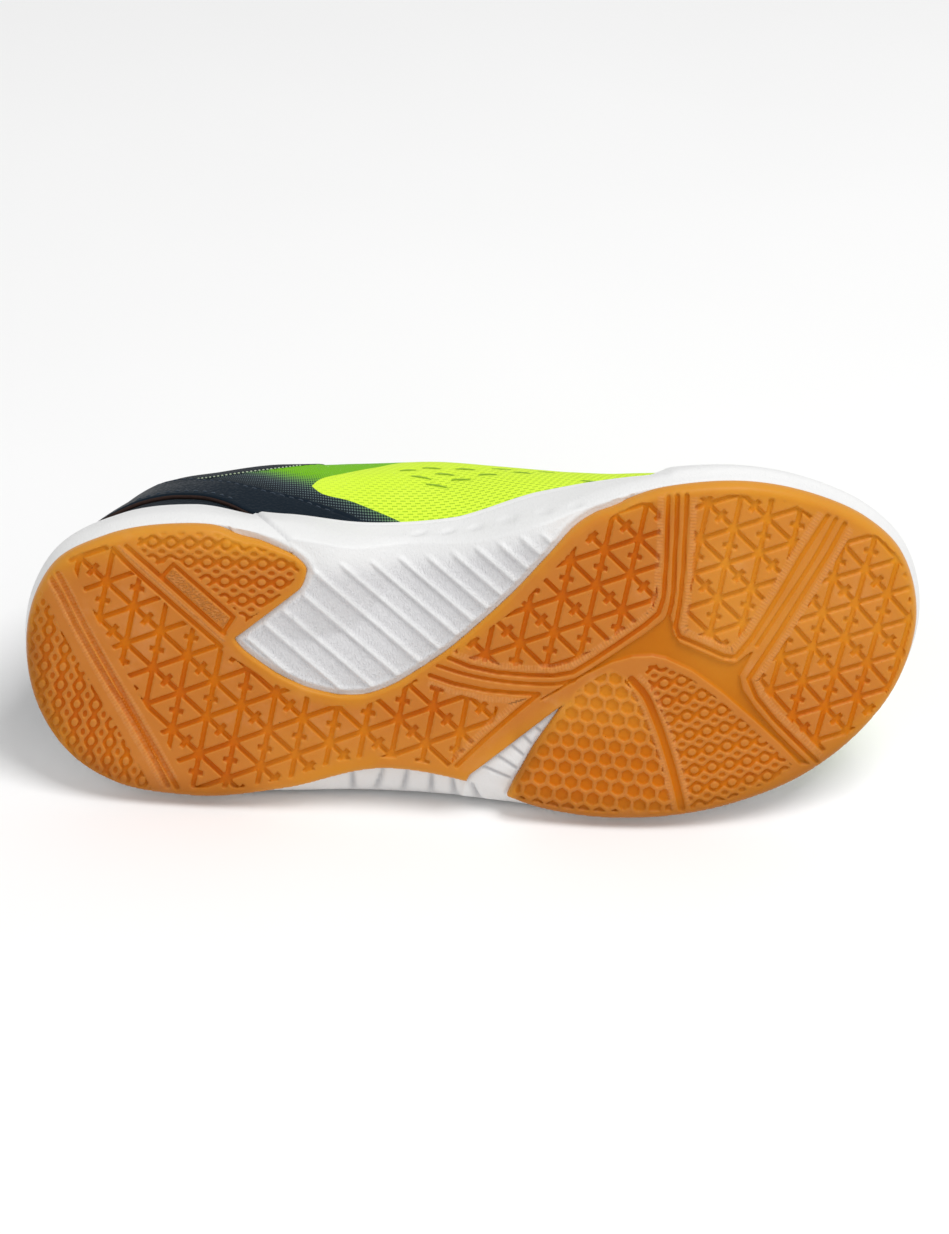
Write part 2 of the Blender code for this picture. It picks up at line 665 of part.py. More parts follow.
def make_lace():
    bars = [lace_bar(EYELET_ROWS[-1], EYELET_ROWS[-1], "med", "lat", 1.5)]
    for i, (a, b) in enumerate(zip(EYELET_ROWS, EYELET_ROWS[1:])):
        bars.append(lace_bar(a, b, "med", "lat", 0.2 + 0.23 * i))
        bars.append(lace_bar(b, a, "med", "lat", 3.1 - 0.31 * i))
    first = bars[0].build("lace", CORD, SHOE)
    for i, bar in enumerate(bars[1:]):
        piece = bar.build("lace_run_%d" % i, None, SHOE)
        piece.hide_render = True
        piece.display_type = "WIRE"
        mod = first.modifiers.new("join_%d" % i, "BOOLEAN")
        mod.operation = "UNION"
        mod.solver = "EXACT"
        mod.object = piece
    return first


def make_counter():
    net = Net()
    last = COUNTER_ROWS[-1][0]
    rows = np.linspace(-last, last, 41)
    tau = np.array([float(at_row(abs(r), "med" if r >= 0 else "lat"))
                    for r in rows])
    table = np.array(COUNTER_ROWS)
    low = np.interp(np.abs(rows), table[:, 0], table[:, 1])
    high = np.interp(np.abs(rows), table[:, 0], table[:, 2])
    rim = rim_level(tau)
    base = rim + 0.035
    inner, outer = [], []
    for s in np.linspace(0.0, 1.0, 5):
        v = base + (1.0 - base) * (low + (high - low) * s)
        p, n = skin(tau, v), skin_normal(tau, v)
        inner.append(net.add(p + n * GAP))
        outer.append(net.add(p + n * (GAP + COUNTER_THICK)))
    for k in range(len(inner) - 1):
        net.strip(inner[k], inner[k + 1], closed=False)
        net.strip(outer[k], outer[k + 1], closed=False)
    rim_i = inner[0] + [r[-1] for r in inner[1:-1]] + inner[-1][::-1] + \
        [r[0] for r in inner[-2:0:-1]]
    rim_o = outer[0] + [r[-1] for r in outer[1:-1]] + outer[-1][::-1] + \
        [r[0] for r in outer[-2:0:-1]]
    net.strip(rim_i, rim_o)
    return net.build("heel_counter", NAVY, SHOE)


make_outsole()
make_midsole()
make_upper()
make_insole()
make_counter()
make_tongue()
make_lace()
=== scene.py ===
"""Looks of the left indoor court shoe: tread, foam, mesh upper, overlays.

Lengths are millimetres in the shoe's own frame (X heel to toe, Y to the outer
side, Z up from the ground under the tread) until world() lays the shoe down.
"""
import math

import bmesh
import bpy
import numpy as np
from mathutils import Matrix, Vector

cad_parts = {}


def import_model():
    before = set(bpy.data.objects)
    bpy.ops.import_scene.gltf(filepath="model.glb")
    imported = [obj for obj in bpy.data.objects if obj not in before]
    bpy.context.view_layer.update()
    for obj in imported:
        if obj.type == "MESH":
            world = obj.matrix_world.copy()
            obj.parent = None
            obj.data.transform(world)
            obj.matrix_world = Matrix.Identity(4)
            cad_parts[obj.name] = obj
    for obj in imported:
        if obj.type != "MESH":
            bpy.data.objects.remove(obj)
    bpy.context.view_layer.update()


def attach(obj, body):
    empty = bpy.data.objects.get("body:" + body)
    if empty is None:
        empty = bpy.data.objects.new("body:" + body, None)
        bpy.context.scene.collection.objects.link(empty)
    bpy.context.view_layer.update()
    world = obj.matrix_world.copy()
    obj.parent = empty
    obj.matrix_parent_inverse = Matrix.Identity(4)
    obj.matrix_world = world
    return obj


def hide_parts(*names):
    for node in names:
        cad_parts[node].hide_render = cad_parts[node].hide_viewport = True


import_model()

# ------------------------------------------------- the shoe's sizes and pattern
LENGTH, BALL_WIDTH, INSTEP_HEIGHT, HEEL_HEIGHT = 217.0, 86.0, 72.0, 62.0
WALL, COLLAR_PAD = 2.0, 3.2
OUTSOLE_THICK, EDGE_ROUND = 4.0, 2.2
HEEL_BEVEL, HEEL_BEVEL_RUN = 4.5, 20.0
TOE_SPRING, TOE_SPRING_FROM, TOE_SPRING_RUN = 15.0, 138.0, 76.0
BED_HEEL, BED_BALL = 13.0, 10.0
RIM_WALL, SOLE_BULGE, BELLY = 1.8, 0.9, 0.28
ARCH_LIFT, ARCH_MIDDLE, ARCH_REACH = 5.5, 92.0, 46.0
INSOLE_THICK, TONGUE_THICK, TONGUE_RISE = 3.0, 3.6, 25.0
LACE_WIDTH, LACE_THICK = 5.0, 1.1
COUNTER_THICK, GAP = 1.1, 0.3
LIE_ROLL, LIE_PITCH = math.radians(-102.51), math.radians(-3.17)
LIE_SHIFT = np.array((-107.842, -35.555, 38.825))

SOLE_COLUMNS = ("x", "med", "lat", "tuck", "rim_med", "rim_lat", "inset")
SOLE_ROWS = (
    (2.0, -12.8, 18.2, 0.0, 24.0, 24.0, 5.4),
    (8.0, -22.3, 27.2, 0.0, 23.5, 23.5, 5.4),
    (20.0, -28.9, 35.2, 0.0, 22.6, 23.5, 5.5),
    (40.0, -31.8, 39.0, 0.0, 22.4, 23.5, 5.5),
    (62.0, -28.6, 39.6, 2.8, 20.4, 23.0, 4.8),
    (85.0, -24.6, 39.8, 8.2, 20.3, 23.0, 4.2),
    (105.0, -25.8, 41.2, 6.2, 20.2, 22.5, 4.2),
    (124.0, -32.0, 43.6, 1.4, 22.2, 22.0, 4.6),
    (139.0, -37.4, 44.8, 0.0, 22.4, 22.0, 5.0),
    (152.0, -40.6, 45.0, 0.0, 22.4, 22.0, 5.6),
    (157.0, -41.3, 44.7, 0.0, 27.0, 27.0, 5.8),
    (174.0, -41.2, 41.8, 0.0, 28.8, 28.8, 6.3),
    (190.0, -36.6, 36.0, 0.0, 31.4, 31.4, 6.2),
    (203.0, -29.2, 26.8, 0.0, 33.4, 33.4, 6.5),
    (211.0, -21.0, 17.3, 0.0, 34.4, 34.4, 6.6),
)
HEEL_TIP = dict(x=-1.0, y=2.0, rim=24.2, inset=5.4)
TOE_TIP = dict(x=216.6, y=-2.6, rim=34.8, inset=6.8)
TOP_COLUMNS = ("x", "med", "lat", "z_med", "z_lat", "lean", "fall",
               "rise", "flare_med", "flare_lat", "pad")
TOP_ROWS = (
    (15.5, -8.6, 10.6, 61.8, 61.8, 5.0, 14.0, 18.0, 12.0, 12.0, 1.0),
    (20.5, -15.4, 17.4, 60.0, 60.0, 6.0, 14.0, 18.0, 11.0, 11.0, 1.0),
    (30.0, -22.6, 24.0, 56.2, 55.6, 8.0, 14.0, 18.0, 10.0, 9.0, 1.0),
    (45.0, -27.0, 28.4, 52.6, 51.0, 10.0, 14.0, 18.0, 10.0, 7.0, 1.0),
    (60.0, -27.8, 29.0, 56.5, 55.0, 16.0, 15.0, 19.0, 13.0, 4.0, 1.0),
    (73.0, -24.4, 24.6, 65.5, 64.6, 40.0, 21.0, 22.0, 20.0, 2.0, 0.6),
    (82.0, -18.0, 17.8, 71.6, 71.2, 60.0, 27.0, 24.0, 23.0, 2.0, 0.1),
    (98.0, -14.0, 13.8, 67.6, 67.2, 66.0, 28.0, 24.0, 19.0, 3.0, 0.0),
    (111.0, -12.4, 12.2, 63.0, 62.6, 67.0, 27.0, 22.0, 8.0, 4.0, 0.0),
    (121.0, -11.4, 11.2, 59.4, 59.2, 68.0, 28.0, 20.0, 3.0, 3.0, 0.0),
    (128.0, -10.6, 10.4, 57.0, 56.8, 71.0, 29.0, 20.0, 2.0, 2.0, 0.0),
    (136.0, -8.8, 8.6, 54.4, 54.3, 76.0, 33.0, 20.0, 1.0, 2.0, 0.0),
    (140.5, -6.0, 5.7, 52.9, 52.9, 80.0, 38.0, 21.0, 0.0, 1.0, 0.0),
    (142.4, -3.4, 3.0, 52.2, 52.2, 82.0, 42.0, 22.0, 0.0, 0.0, 0.0),
    (142.9, -1.7, 1.2, 52.0, 52.0, 83.0, 44.0, 23.0, 0.0, 0.0, 0.0),
)
HEEL_TOP = dict(x=14.0, y=1.0, z=62.0, lean=5.0, fall=14.0, rise=18.0,
                flare=12.0, pad=1.0)
TOE_TOP = dict(x=143.0, y=-0.2, z=52.0, lean=83.0, fall=45.0, rise=23.0,
               flare=0.0, pad=0.0)
ARCH_ROWS = (
    (67.8, -21.2), (66.6, -16.6), (62.8, -13.2), (52.8, -5.2), (50.3, -3.0),
    (52.7, 0.3), (59.8, 5.8), (67.2, 9.7), (75.0, 11.7), (82.0, 11.5),
    (89.5, 8.4), (102.1, -0.5), (116.6, -14.2), (130.8, -30.4),
    (136.6, -35.3), (142.8, -38.6), (148.0, -50.0), (48.0, -50.0), (50.5, -31.6),
    (57.7, -28.4), (64.6, -24.8),
)
NOTCH_ROWS = ((129.5, 14.2), (122.3, 25.4), (118.0, 34.0), (114.5, 43.0),
              (112.0, 52.0), (98.0, 52.0), (107.0, 32.9))
EYELET_ROWS = (7.35, 8.15, 8.95, 9.9, 11.1)
EYELET_INSET = 0.10


def smooth(a):
    a = np.clip(a, 0.0, 1.0)
    return a * a * (3.0 - 2.0 * a)


def ground(x):
    heel = np.clip((HEEL_BEVEL_RUN - x) / HEEL_BEVEL_RUN, 0.0, 2.0)
    toe = np.clip((x - TOE_SPRING_FROM) / TOE_SPRING_RUN, 0.0, 2.0)
    return HEEL_BEVEL * heel ** 2 + TOE_SPRING * toe ** 2


def bed(x):
    drop = smooth((x - 30.0) / 95.0)
    toe = np.clip((x - TOE_SPRING_FROM) / TOE_SPRING_RUN, 0.0, 2.0)
    return BED_HEEL + (BED_BALL - BED_HEEL) * drop + TOE_SPRING * toe ** 2


def foam_under(x, y):
    along = np.clip(1.0 - np.abs(x - ARCH_MIDDLE) / ARCH_REACH, 0.0, 1.0)
    across = np.clip((12.0 - y) / 37.0, 0.0, 1.2)
    return ground(x) + OUTSOLE_THICK + ARCH_LIFT * smooth(along) * across ** 1.3


def pattern():
    out = []

    def knot(sx, sy, rim, inset, t, ty, tz, flare, tuck):
        out.append((sx, sy, rim, inset, t["x"], ty, tz, t["lean"], t["fall"],
                    t["rise"], flare, t["pad"], tuck))

    rows = [(dict(zip(SOLE_COLUMNS, s)), dict(zip(TOP_COLUMNS, t)))
            for s, t in zip(SOLE_ROWS, TOP_ROWS)]
    for tip, top in ((HEEL_TIP, HEEL_TOP), (TOE_TIP, TOE_TOP)):
        knot(tip["x"], tip["y"], tip["rim"], tip["inset"], top, top["y"],
             top["z"], top["flare"], 0.0)
        name = "med" if tip is HEEL_TIP else "lat"
        for s, t in (rows if tip is HEEL_TIP else reversed(rows)):
            knot(s["x"], s[name], s["rim_" + name], s["inset"], t, t[name],
                 t["z_" + name], t["flare_" + name],
                 s["tuck"] * (name == "lat"))
    return np.array(out)


KNOTS = pattern()
COUNT = len(KNOTS)
ROWS = len(SOLE_ROWS)
STEP = np.linalg.norm(np.roll(KNOTS[:, :2], -1, 0) - KNOTS[:, :2], axis=1)
TAU = np.concatenate(([0.0], np.cumsum(STEP)[:-1]))
AROUND = float(np.sum(STEP))


def loop(tau):
    h = STEP
    d = (np.roll(KNOTS, -1, 0) - KNOTS) / h[:, None]
    hp, dp = np.roll(h, 1), np.roll(d, 1, 0)
    m = (dp * h[:, None] + d * hp[:, None]) / (h + hp)[:, None]
    t = np.asarray(tau, float) % AROUND
    k = np.clip(np.searchsorted(TAU, t, side="right") - 1, 0, COUNT - 1)
    n = (k + 1) % COUNT
    s = ((t - TAU[k]) / h[k])[:, None]
    hk = h[k][:, None]
    return ((2 * s ** 3 - 3 * s ** 2 + 1) * KNOTS[k]
            + (s ** 3 - 2 * s ** 2 + s) * hk * m[k]
            + (3 * s ** 2 - 2 * s ** 3) * KNOTS[n]
            + (s ** 3 - s ** 2) * hk * m[n])


def at_row(row, side):
    row = np.asarray(row, float)
    index = row if side == "med" else COUNT - row
    return np.interp(index, np.arange(COUNT + 1), np.append(TAU, AROUND))


def row_of(tau):
    """Section number of places round the shoe, counted from the heel on both
    sides, and +1 on the inner side, -1 on the outer."""
    index = np.interp(np.asarray(tau) % AROUND, np.append(TAU, AROUND),
                      np.arange(COUNT + 1))
    return np.minimum(index, COUNT - index), np.where(index <= COUNT / 2, 1, -1)


def outline(tau):
    e = 0.05
    p = loop(tau)[:, :2]
    d = loop(np.asarray(tau) + e)[:, :2] - loop(np.asarray(tau) - e)[:, :2]
    n = np.stack((d[:, 1], -d[:, 0]), 1)
    return p, n / np.linalg.norm(n, axis=1)[:, None]


def sole_base(tau):
    p, n = outline(tau)
    return p - n * np.maximum(loop(tau)[:, 12:13], 0.0), n


def rib(tau):
    c = loop(tau)
    p, n = outline(tau)
    foot = np.zeros((len(c), 3))
    foot[:, :2] = p - n * c[:, 3:4]
    foot[:, 2] = bed(foot[:, 0])
    top = c[:, 4:7]
    away = (foot - top)[:, :2] + 20.0 * n
    away /= np.linalg.norm(away, axis=1)[:, None]
    lean, flare = np.radians(c[:, 7]), np.radians(c[:, 10])
    low = foot.copy()
    low[:, :2] += n * (c[:, 9] * np.sin(flare))[:, None]
    low[:, 2] += c[:, 9] * np.cos(flare)
    high = top.copy()
    high[:, :2] += away * (c[:, 8] * np.sin(lean))[:, None]
    high[:, 2] -= c[:, 8] * np.cos(lean)
    return foot, low, high, top


def skin(tau, v):
    a, b, c, d = rib(tau)
    v = np.broadcast_to(np.asarray(v, float), (len(a),))[:, None]
    w = 1.0 - v
    return w ** 3 * a + 3 * w * w * v * b + 3 * w * v * v * c + v ** 3 * d


def skin_normal(tau, v):
    e = 0.05
    tau = np.asarray(tau, float)
    v = np.broadcast_to(np.asarray(v, float), tau.shape)
    du = skin(tau + e, v) - skin(tau - e, v)
    dv = skin(tau, v + 0.002) - skin(tau, v - 0.002)
    n = np.cross(du, dv)
    return n / np.linalg.norm(n, axis=1)[:, None]


def wall(tau, v):
    pad = np.clip(loop(tau)[:, 11], 0.0, 1.0)
    return WALL + COLLAR_PAD * pad * smooth((v - 0.5) / 0.32)


def rim_level(tau):
    want = np.interp(np.asarray(tau) % AROUND, np.append(TAU, AROUND),
                     np.append(KNOTS[:, 2], KNOTS[0, 2]))
    lo, hi = np.zeros(len(want)), np.full(len(want), 0.9)
    for _ in range(30):
        mid = 0.5 * (lo + hi)
        up = skin(tau, mid)[:, 2] > want
        hi, lo = np.where(up, mid, hi), np.where(up, lo, mid)
    return 0.5 * (lo + hi)


def places(step, waist=None):
    """Places round the shoe about step apart, as many on both sides; closer
    ones at the waist where a step is given for it."""
    ends = np.append(TAU, AROUND)
    half = COUNT // 2
    out = [None] * COUNT
    for k in range(half):
        far = COUNT - 1 - k
        fine = waist if waist and 4 <= k <= 8 else step
        n = max(2, int(round(max(STEP[k], STEP[far]) / fine)))
        out[k] = np.linspace(ends[k], ends[k + 1], n, endpoint=False)
        out[far] = np.linspace(ends[far], ends[far + 1], n, endpoint=False)
    return np.concatenate(out)


# --------------------------------------------------------------- lay and view
def turn(axis, a):
    c, s = math.cos(a), math.sin(a)
    if axis == "X":
        return np.array(((1, 0, 0), (0, c, -s), (0, s, c)))
    return np.array(((c, 0, s), (0, 1, 0), (-s, 0, c)))


LIE = turn("Y", LIE_PITCH) @ turn("X", LIE_ROLL)


def world(p):
    return (np.asarray(p, float) @ LIE.T + LIE_SHIFT) * 0.001


# The photograph's view of the shoe: distance, tilt off the tread's normal,
# focal length in its pixels.
VIEW_TILT, VIEW_FAR, VIEW_FOCAL = math.radians(22.0), 900.0, 3744.0
VIEW_AT = np.array((108.05, -9.07, 0.0))
VIEW_BACK = np.array((0.0, -math.sin(VIEW_TILT), -math.cos(VIEW_TILT)))
VIEW_UP = np.array((0.0, -math.cos(VIEW_TILT), math.sin(VIEW_TILT)))


def seen(p):
    """Where points of the shoe lie in the 949 x 1234 photograph."""
    q = np.asarray(p, float) - VIEW_AT
    far = VIEW_FAR - q @ VIEW_BACK
    return np.stack((474.5 + VIEW_FOCAL * q[:, 0] / far,
                     617.0 - VIEW_FOCAL * (q @ VIEW_UP) / far), 1)


PX = 4.16                 # pixels of the photograph to a millimetre


# ---------------------------------------------------------------- plan helpers
def line_dist(p, pts, closed=False):
    """Distance of points p to a run of straight lines, with the length along
    it and the side (positive to the right of its way)."""
    pts = np.asarray(pts, float)
    if closed:
        pts = np.vstack((pts, pts[:1]))
    best = np.full(len(p), 1e9)
    along = np.zeros(len(p))
    side = np.zeros(len(p))
    run = 0.0
    for a, b in zip(pts, pts[1:]):
        d = b - a
        size = math.hypot(*d)
        if size < 1e-9:
            continue
        d = d / size
        q = p - a
        t = np.clip(q @ d, 0.0, size)
        r = q - t[:, None] * d
        dist = np.hypot(r[:, 0], r[:, 1])
        m = dist < best
        best[m] = dist[m]
        along[m] = run + t[m]
        side[m] = (q[:, 0] * -d[1] + q[:, 1] * d[0])[m]
        run += size
    return best, along, side


def inside(p, poly):
    poly = np.asarray(poly, float)
    hit = np.zeros(len(p), bool)
    for (x0, y0), (x1, y1) in zip(poly, np.roll(poly, -1, 0)):
        if y0 == y1:
            continue
        m = (p[:, 1] < y0) != (p[:, 1] < y1)
        hit ^= m & (p[:, 0] < (x1 - x0) * (p[:, 1] - y0) / (y1 - y0) + x0)
    return hit


def poly_sd(p, poly):
    """Signed distance to a closed outline, negative inside."""
    d = line_dist(p, poly, closed=True)[0]
    return np.where(inside(p, poly), -d, d)


def rounded(rows, steps=8):
    p = np.array(rows, float)
    out = []
    for i in range(len(p)):
        a, b, c, d = p[i - 1], p[i], p[(i + 1) % len(p)], p[(i + 2) % len(p)]
        for s in np.linspace(0.0, 1.0, steps, endpoint=False):
            m0, m1 = 0.35 * (c - a), 0.35 * (d - b)
            out.append((2 * s ** 3 - 3 * s ** 2 + 1) * b
                       + (s ** 3 - 2 * s ** 2 + s) * m0
                       + (3 * s ** 2 - 2 * s ** 3) * c + (s ** 3 - s ** 2) * m1)
    return np.array(out)


def curve_through(rows, n):
    """n points on a smooth open curve through rows."""
    p = np.array(rows, float)
    t = np.concatenate(([0.0], np.cumsum(np.linalg.norm(np.diff(p, axis=0),
                                                        axis=1))))
    m = np.gradient(p, t, axis=0)
    q = np.linspace(0.0, t[-1], n)
    k = np.clip(np.searchsorted(t, q, side="right") - 1, 0, len(t) - 2)
    h = (t[k + 1] - t[k])[:, None]
    s = (q - t[k])[:, None] / h
    return ((2 * s ** 3 - 3 * s ** 2 + 1) * p[k]
            + (s ** 3 - 2 * s ** 2 + s) * h * m[k]
            + (3 * s ** 2 - 2 * s ** 3) * p[k + 1]
            + (s ** 3 - s ** 2) * h * m[k + 1])


ARCH = rounded(ARCH_ROWS)
NOTCH = np.array(NOTCH_ROWS)


# ------------------------------------------------------------------ mesh maker
def put(name, pts, faces, mats, index=None, uv=None, fields=None,
        replaces=(), sharp=None, lay=True):
    """A mesh piece that rides on the shoe. faces is a list of (m, k) arrays."""
    faces = [np.asarray(f, np.int32) for f in faces if len(f)]
    mesh = bpy.data.meshes.new(name)
    co = world(pts) if lay else np.asarray(pts, float)
    co[:, 2] = np.maximum(co[:, 2], 0.0)     # the shoe rests on the floor
    mesh.vertices.add(len(co))
    mesh.vertices.foreach_set("co", co.astype(np.float32).ravel())
    flat = np.concatenate([f.ravel() for f in faces])
    sizes = np.concatenate([np.full(len(f), f.shape[1]) for f in faces])
    starts = np.concatenate(([0], np.cumsum(sizes)[:-1])).astype(np.int32)
    mesh.loops.add(len(flat))
    mesh.loops.foreach_set("vertex_index", flat)
    mesh.polygons.add(len(sizes))
    mesh.polygons.foreach_set("loop_start", starts)
    if index is not None:
        mesh.polygons.foreach_set("material_index",
                                  np.concatenate(index).astype(np.int32))
    mesh.update(calc_edges=True)
    if uv is not None:
        layer = mesh.uv_layers.new(name="UVMap")
        layer.data.foreach_set("uv", np.asarray(uv, np.float32)[flat].ravel())
    for key, value in (fields or {}).items():
        at = mesh.attributes.new(key, "FLOAT", "POINT")
        at.data.foreach_set("value", np.asarray(value, np.float32))
    bm = bmesh.new()
    bm.from_mesh(mesh)
    bmesh.ops.recalc_face_normals(bm, faces=bm.faces)
    bm.to_mesh(mesh)
    bm.free()
    mesh.shade_smooth()
    if sharp is not None:
        mesh.set_sharp_from_angle(angle=math.radians(sharp))
    for m in (mats if isinstance(mats, (list, tuple)) else [mats]):
        mesh.materials.append(m)
    ob = bpy.data.objects.new(name, mesh)
    bpy.context.scene.collection.objects.link(ob)
    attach(ob, "root")
    if replaces:
        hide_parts(*replaces)
    return ob


def grid_faces(ids, closed_u=False, closed_v=False):
    """Quads over a 2-D array of point numbers."""
    a = np.asarray(ids)
    if closed_u:
        a = np.vstack((a, a[:1]))
    if closed_v:
        a = np.hstack((a, a[:, :1]))
    return np.stack((a[:-1, :-1], a[1:, :-1], a[1:, 1:], a[:-1, 1:]),
                    -1).reshape(-1, 4)


# ------------------------------------------------------------------- materials
def lin(r, g, b):
    """Screen colour, 0 to 255, as a linear one."""
    out = []
    for c in (r, g, b):
        c /= 255.0
        out.append(c / 12.92 if c <= 0.04045 else ((c + 0.055) / 1.055) ** 2.4)
    return (*out, 1.0)


class Nodes:
    """Short words for building a node tree."""

    def __init__(self, name):
        self.mat = bpy.data.materials.new(name)
        self.mat.use_nodes = True
        self.tree = self.mat.node_tree
        self.bsdf = self.tree.nodes["Principled BSDF"]

    def new(self, kind, **props):
        n = self.tree.nodes.new(kind)
        for k, v in props.items():
            setattr(n, k, v)
        return n

    def wire(self, a, b):
        self.tree.links.new(a, b)

    def put(self, socket, value):
        if hasattr(value, "is_linked") or hasattr(value, "links"):
            self.wire(value, socket)
        else:
            socket.default_value = value

    def attr(self, name):
        return self.new("ShaderNodeAttribute", attribute_name=name).outputs["Fac"]

    def where(self):
        return self.new("ShaderNodeTexCoord").outputs["Object"]

    def uv(self):
        return self.new("ShaderNodeTexCoord").outputs["UV"]

    def math(self, op, a, b=0.0, c=0.0, clamp=False):
        n = self.new("ShaderNodeMath", operation=op, use_clamp=clamp)
        for s, v in zip(n.inputs, (a, b, c)):
            self.put(s, v)
        return n.outputs[0]

    def ramp(self, value, lo, hi, a=0.0, b=1.0, soft=True):
        n = self.new("ShaderNodeMapRange", clamp=True)
        n.interpolation_type = "SMOOTHSTEP" if soft else "LINEAR"
        for key, v in (("Value", value), ("From Min", lo), ("From Max", hi),
                       ("To Min", a), ("To Max", b)):
            self.put(n.inputs[key], v)
        return n.outputs["Result"]

    def mix(self, fac, a, b, blend="MIX"):
        n = self.new("ShaderNodeMix", data_type="RGBA", blend_type=blend)
        self.put(n.inputs[0], fac)
        self.put(n.inputs[6], a)
        self.put(n.inputs[7], b)
        return n.outputs[2]

    def noise(self, vector, scale, detail=2.0, rough=0.5, distort=0.0):
        n = self.new("ShaderNodeTexNoise")
        self.put(n.inputs["Vector"], vector)
        n.inputs["Scale"].default_value = scale
        n.inputs["Detail"].default_value = detail
        n.inputs["Roughness"].default_value = rough
        n.inputs["Distortion"].default_value = distort
        return n.outputs["Fac"]

    def voronoi(self, vector, scale, feature="F1", out="Distance"):
        n = self.new("ShaderNodeTexVoronoi", feature=feature)
        self.put(n.inputs["Vector"], vector)
        n.inputs["Scale"].default_value = scale
        return n.outputs[out]

    def stretch(self, vector, scale):
        n = self.new("ShaderNodeMapping")
        self.put(n.inputs["Vector"], vector)
        n.inputs["Scale"].default_value = scale
        return n.outputs["Vector"]

    def split(self, vector):
        n = self.new("ShaderNodeSeparateXYZ")
        self.put(n.inputs[0], vector)
        return n.outputs

    def bump(self, height, distance, strength=1.0, normal=None):
        n = self.new("ShaderNodeBump")
        n.inputs["Strength"].default_value = strength
        n.inputs["Distance"].default_value = distance
        self.put(n.inputs["Height"], height)
        if normal is not None:
            self.put(n.inputs["Normal"], normal)
        return n.outputs["Normal"]

    def finish(self, colour, rough, normal=None, **fixed):
        self.put(self.bsdf.inputs["Base Color"], colour)
        self.put(self.bsdf.inputs["Roughness"], rough)
        if normal is not None:
            self.put(self.bsdf.inputs["Normal"], normal)
        for key, v in fixed.items():
            self.bsdf.inputs[key.replace("_", " ")].default_value = v
        return self.mat


def wave(n, value, period):
    """0 to 1 wave of a length in millimetres."""
    s = n.math("SINE", n.math("MULTIPLY", value, 2.0 * math.pi / period))
    return n.math("MULTIPLY_ADD", s, 0.5, 0.5)


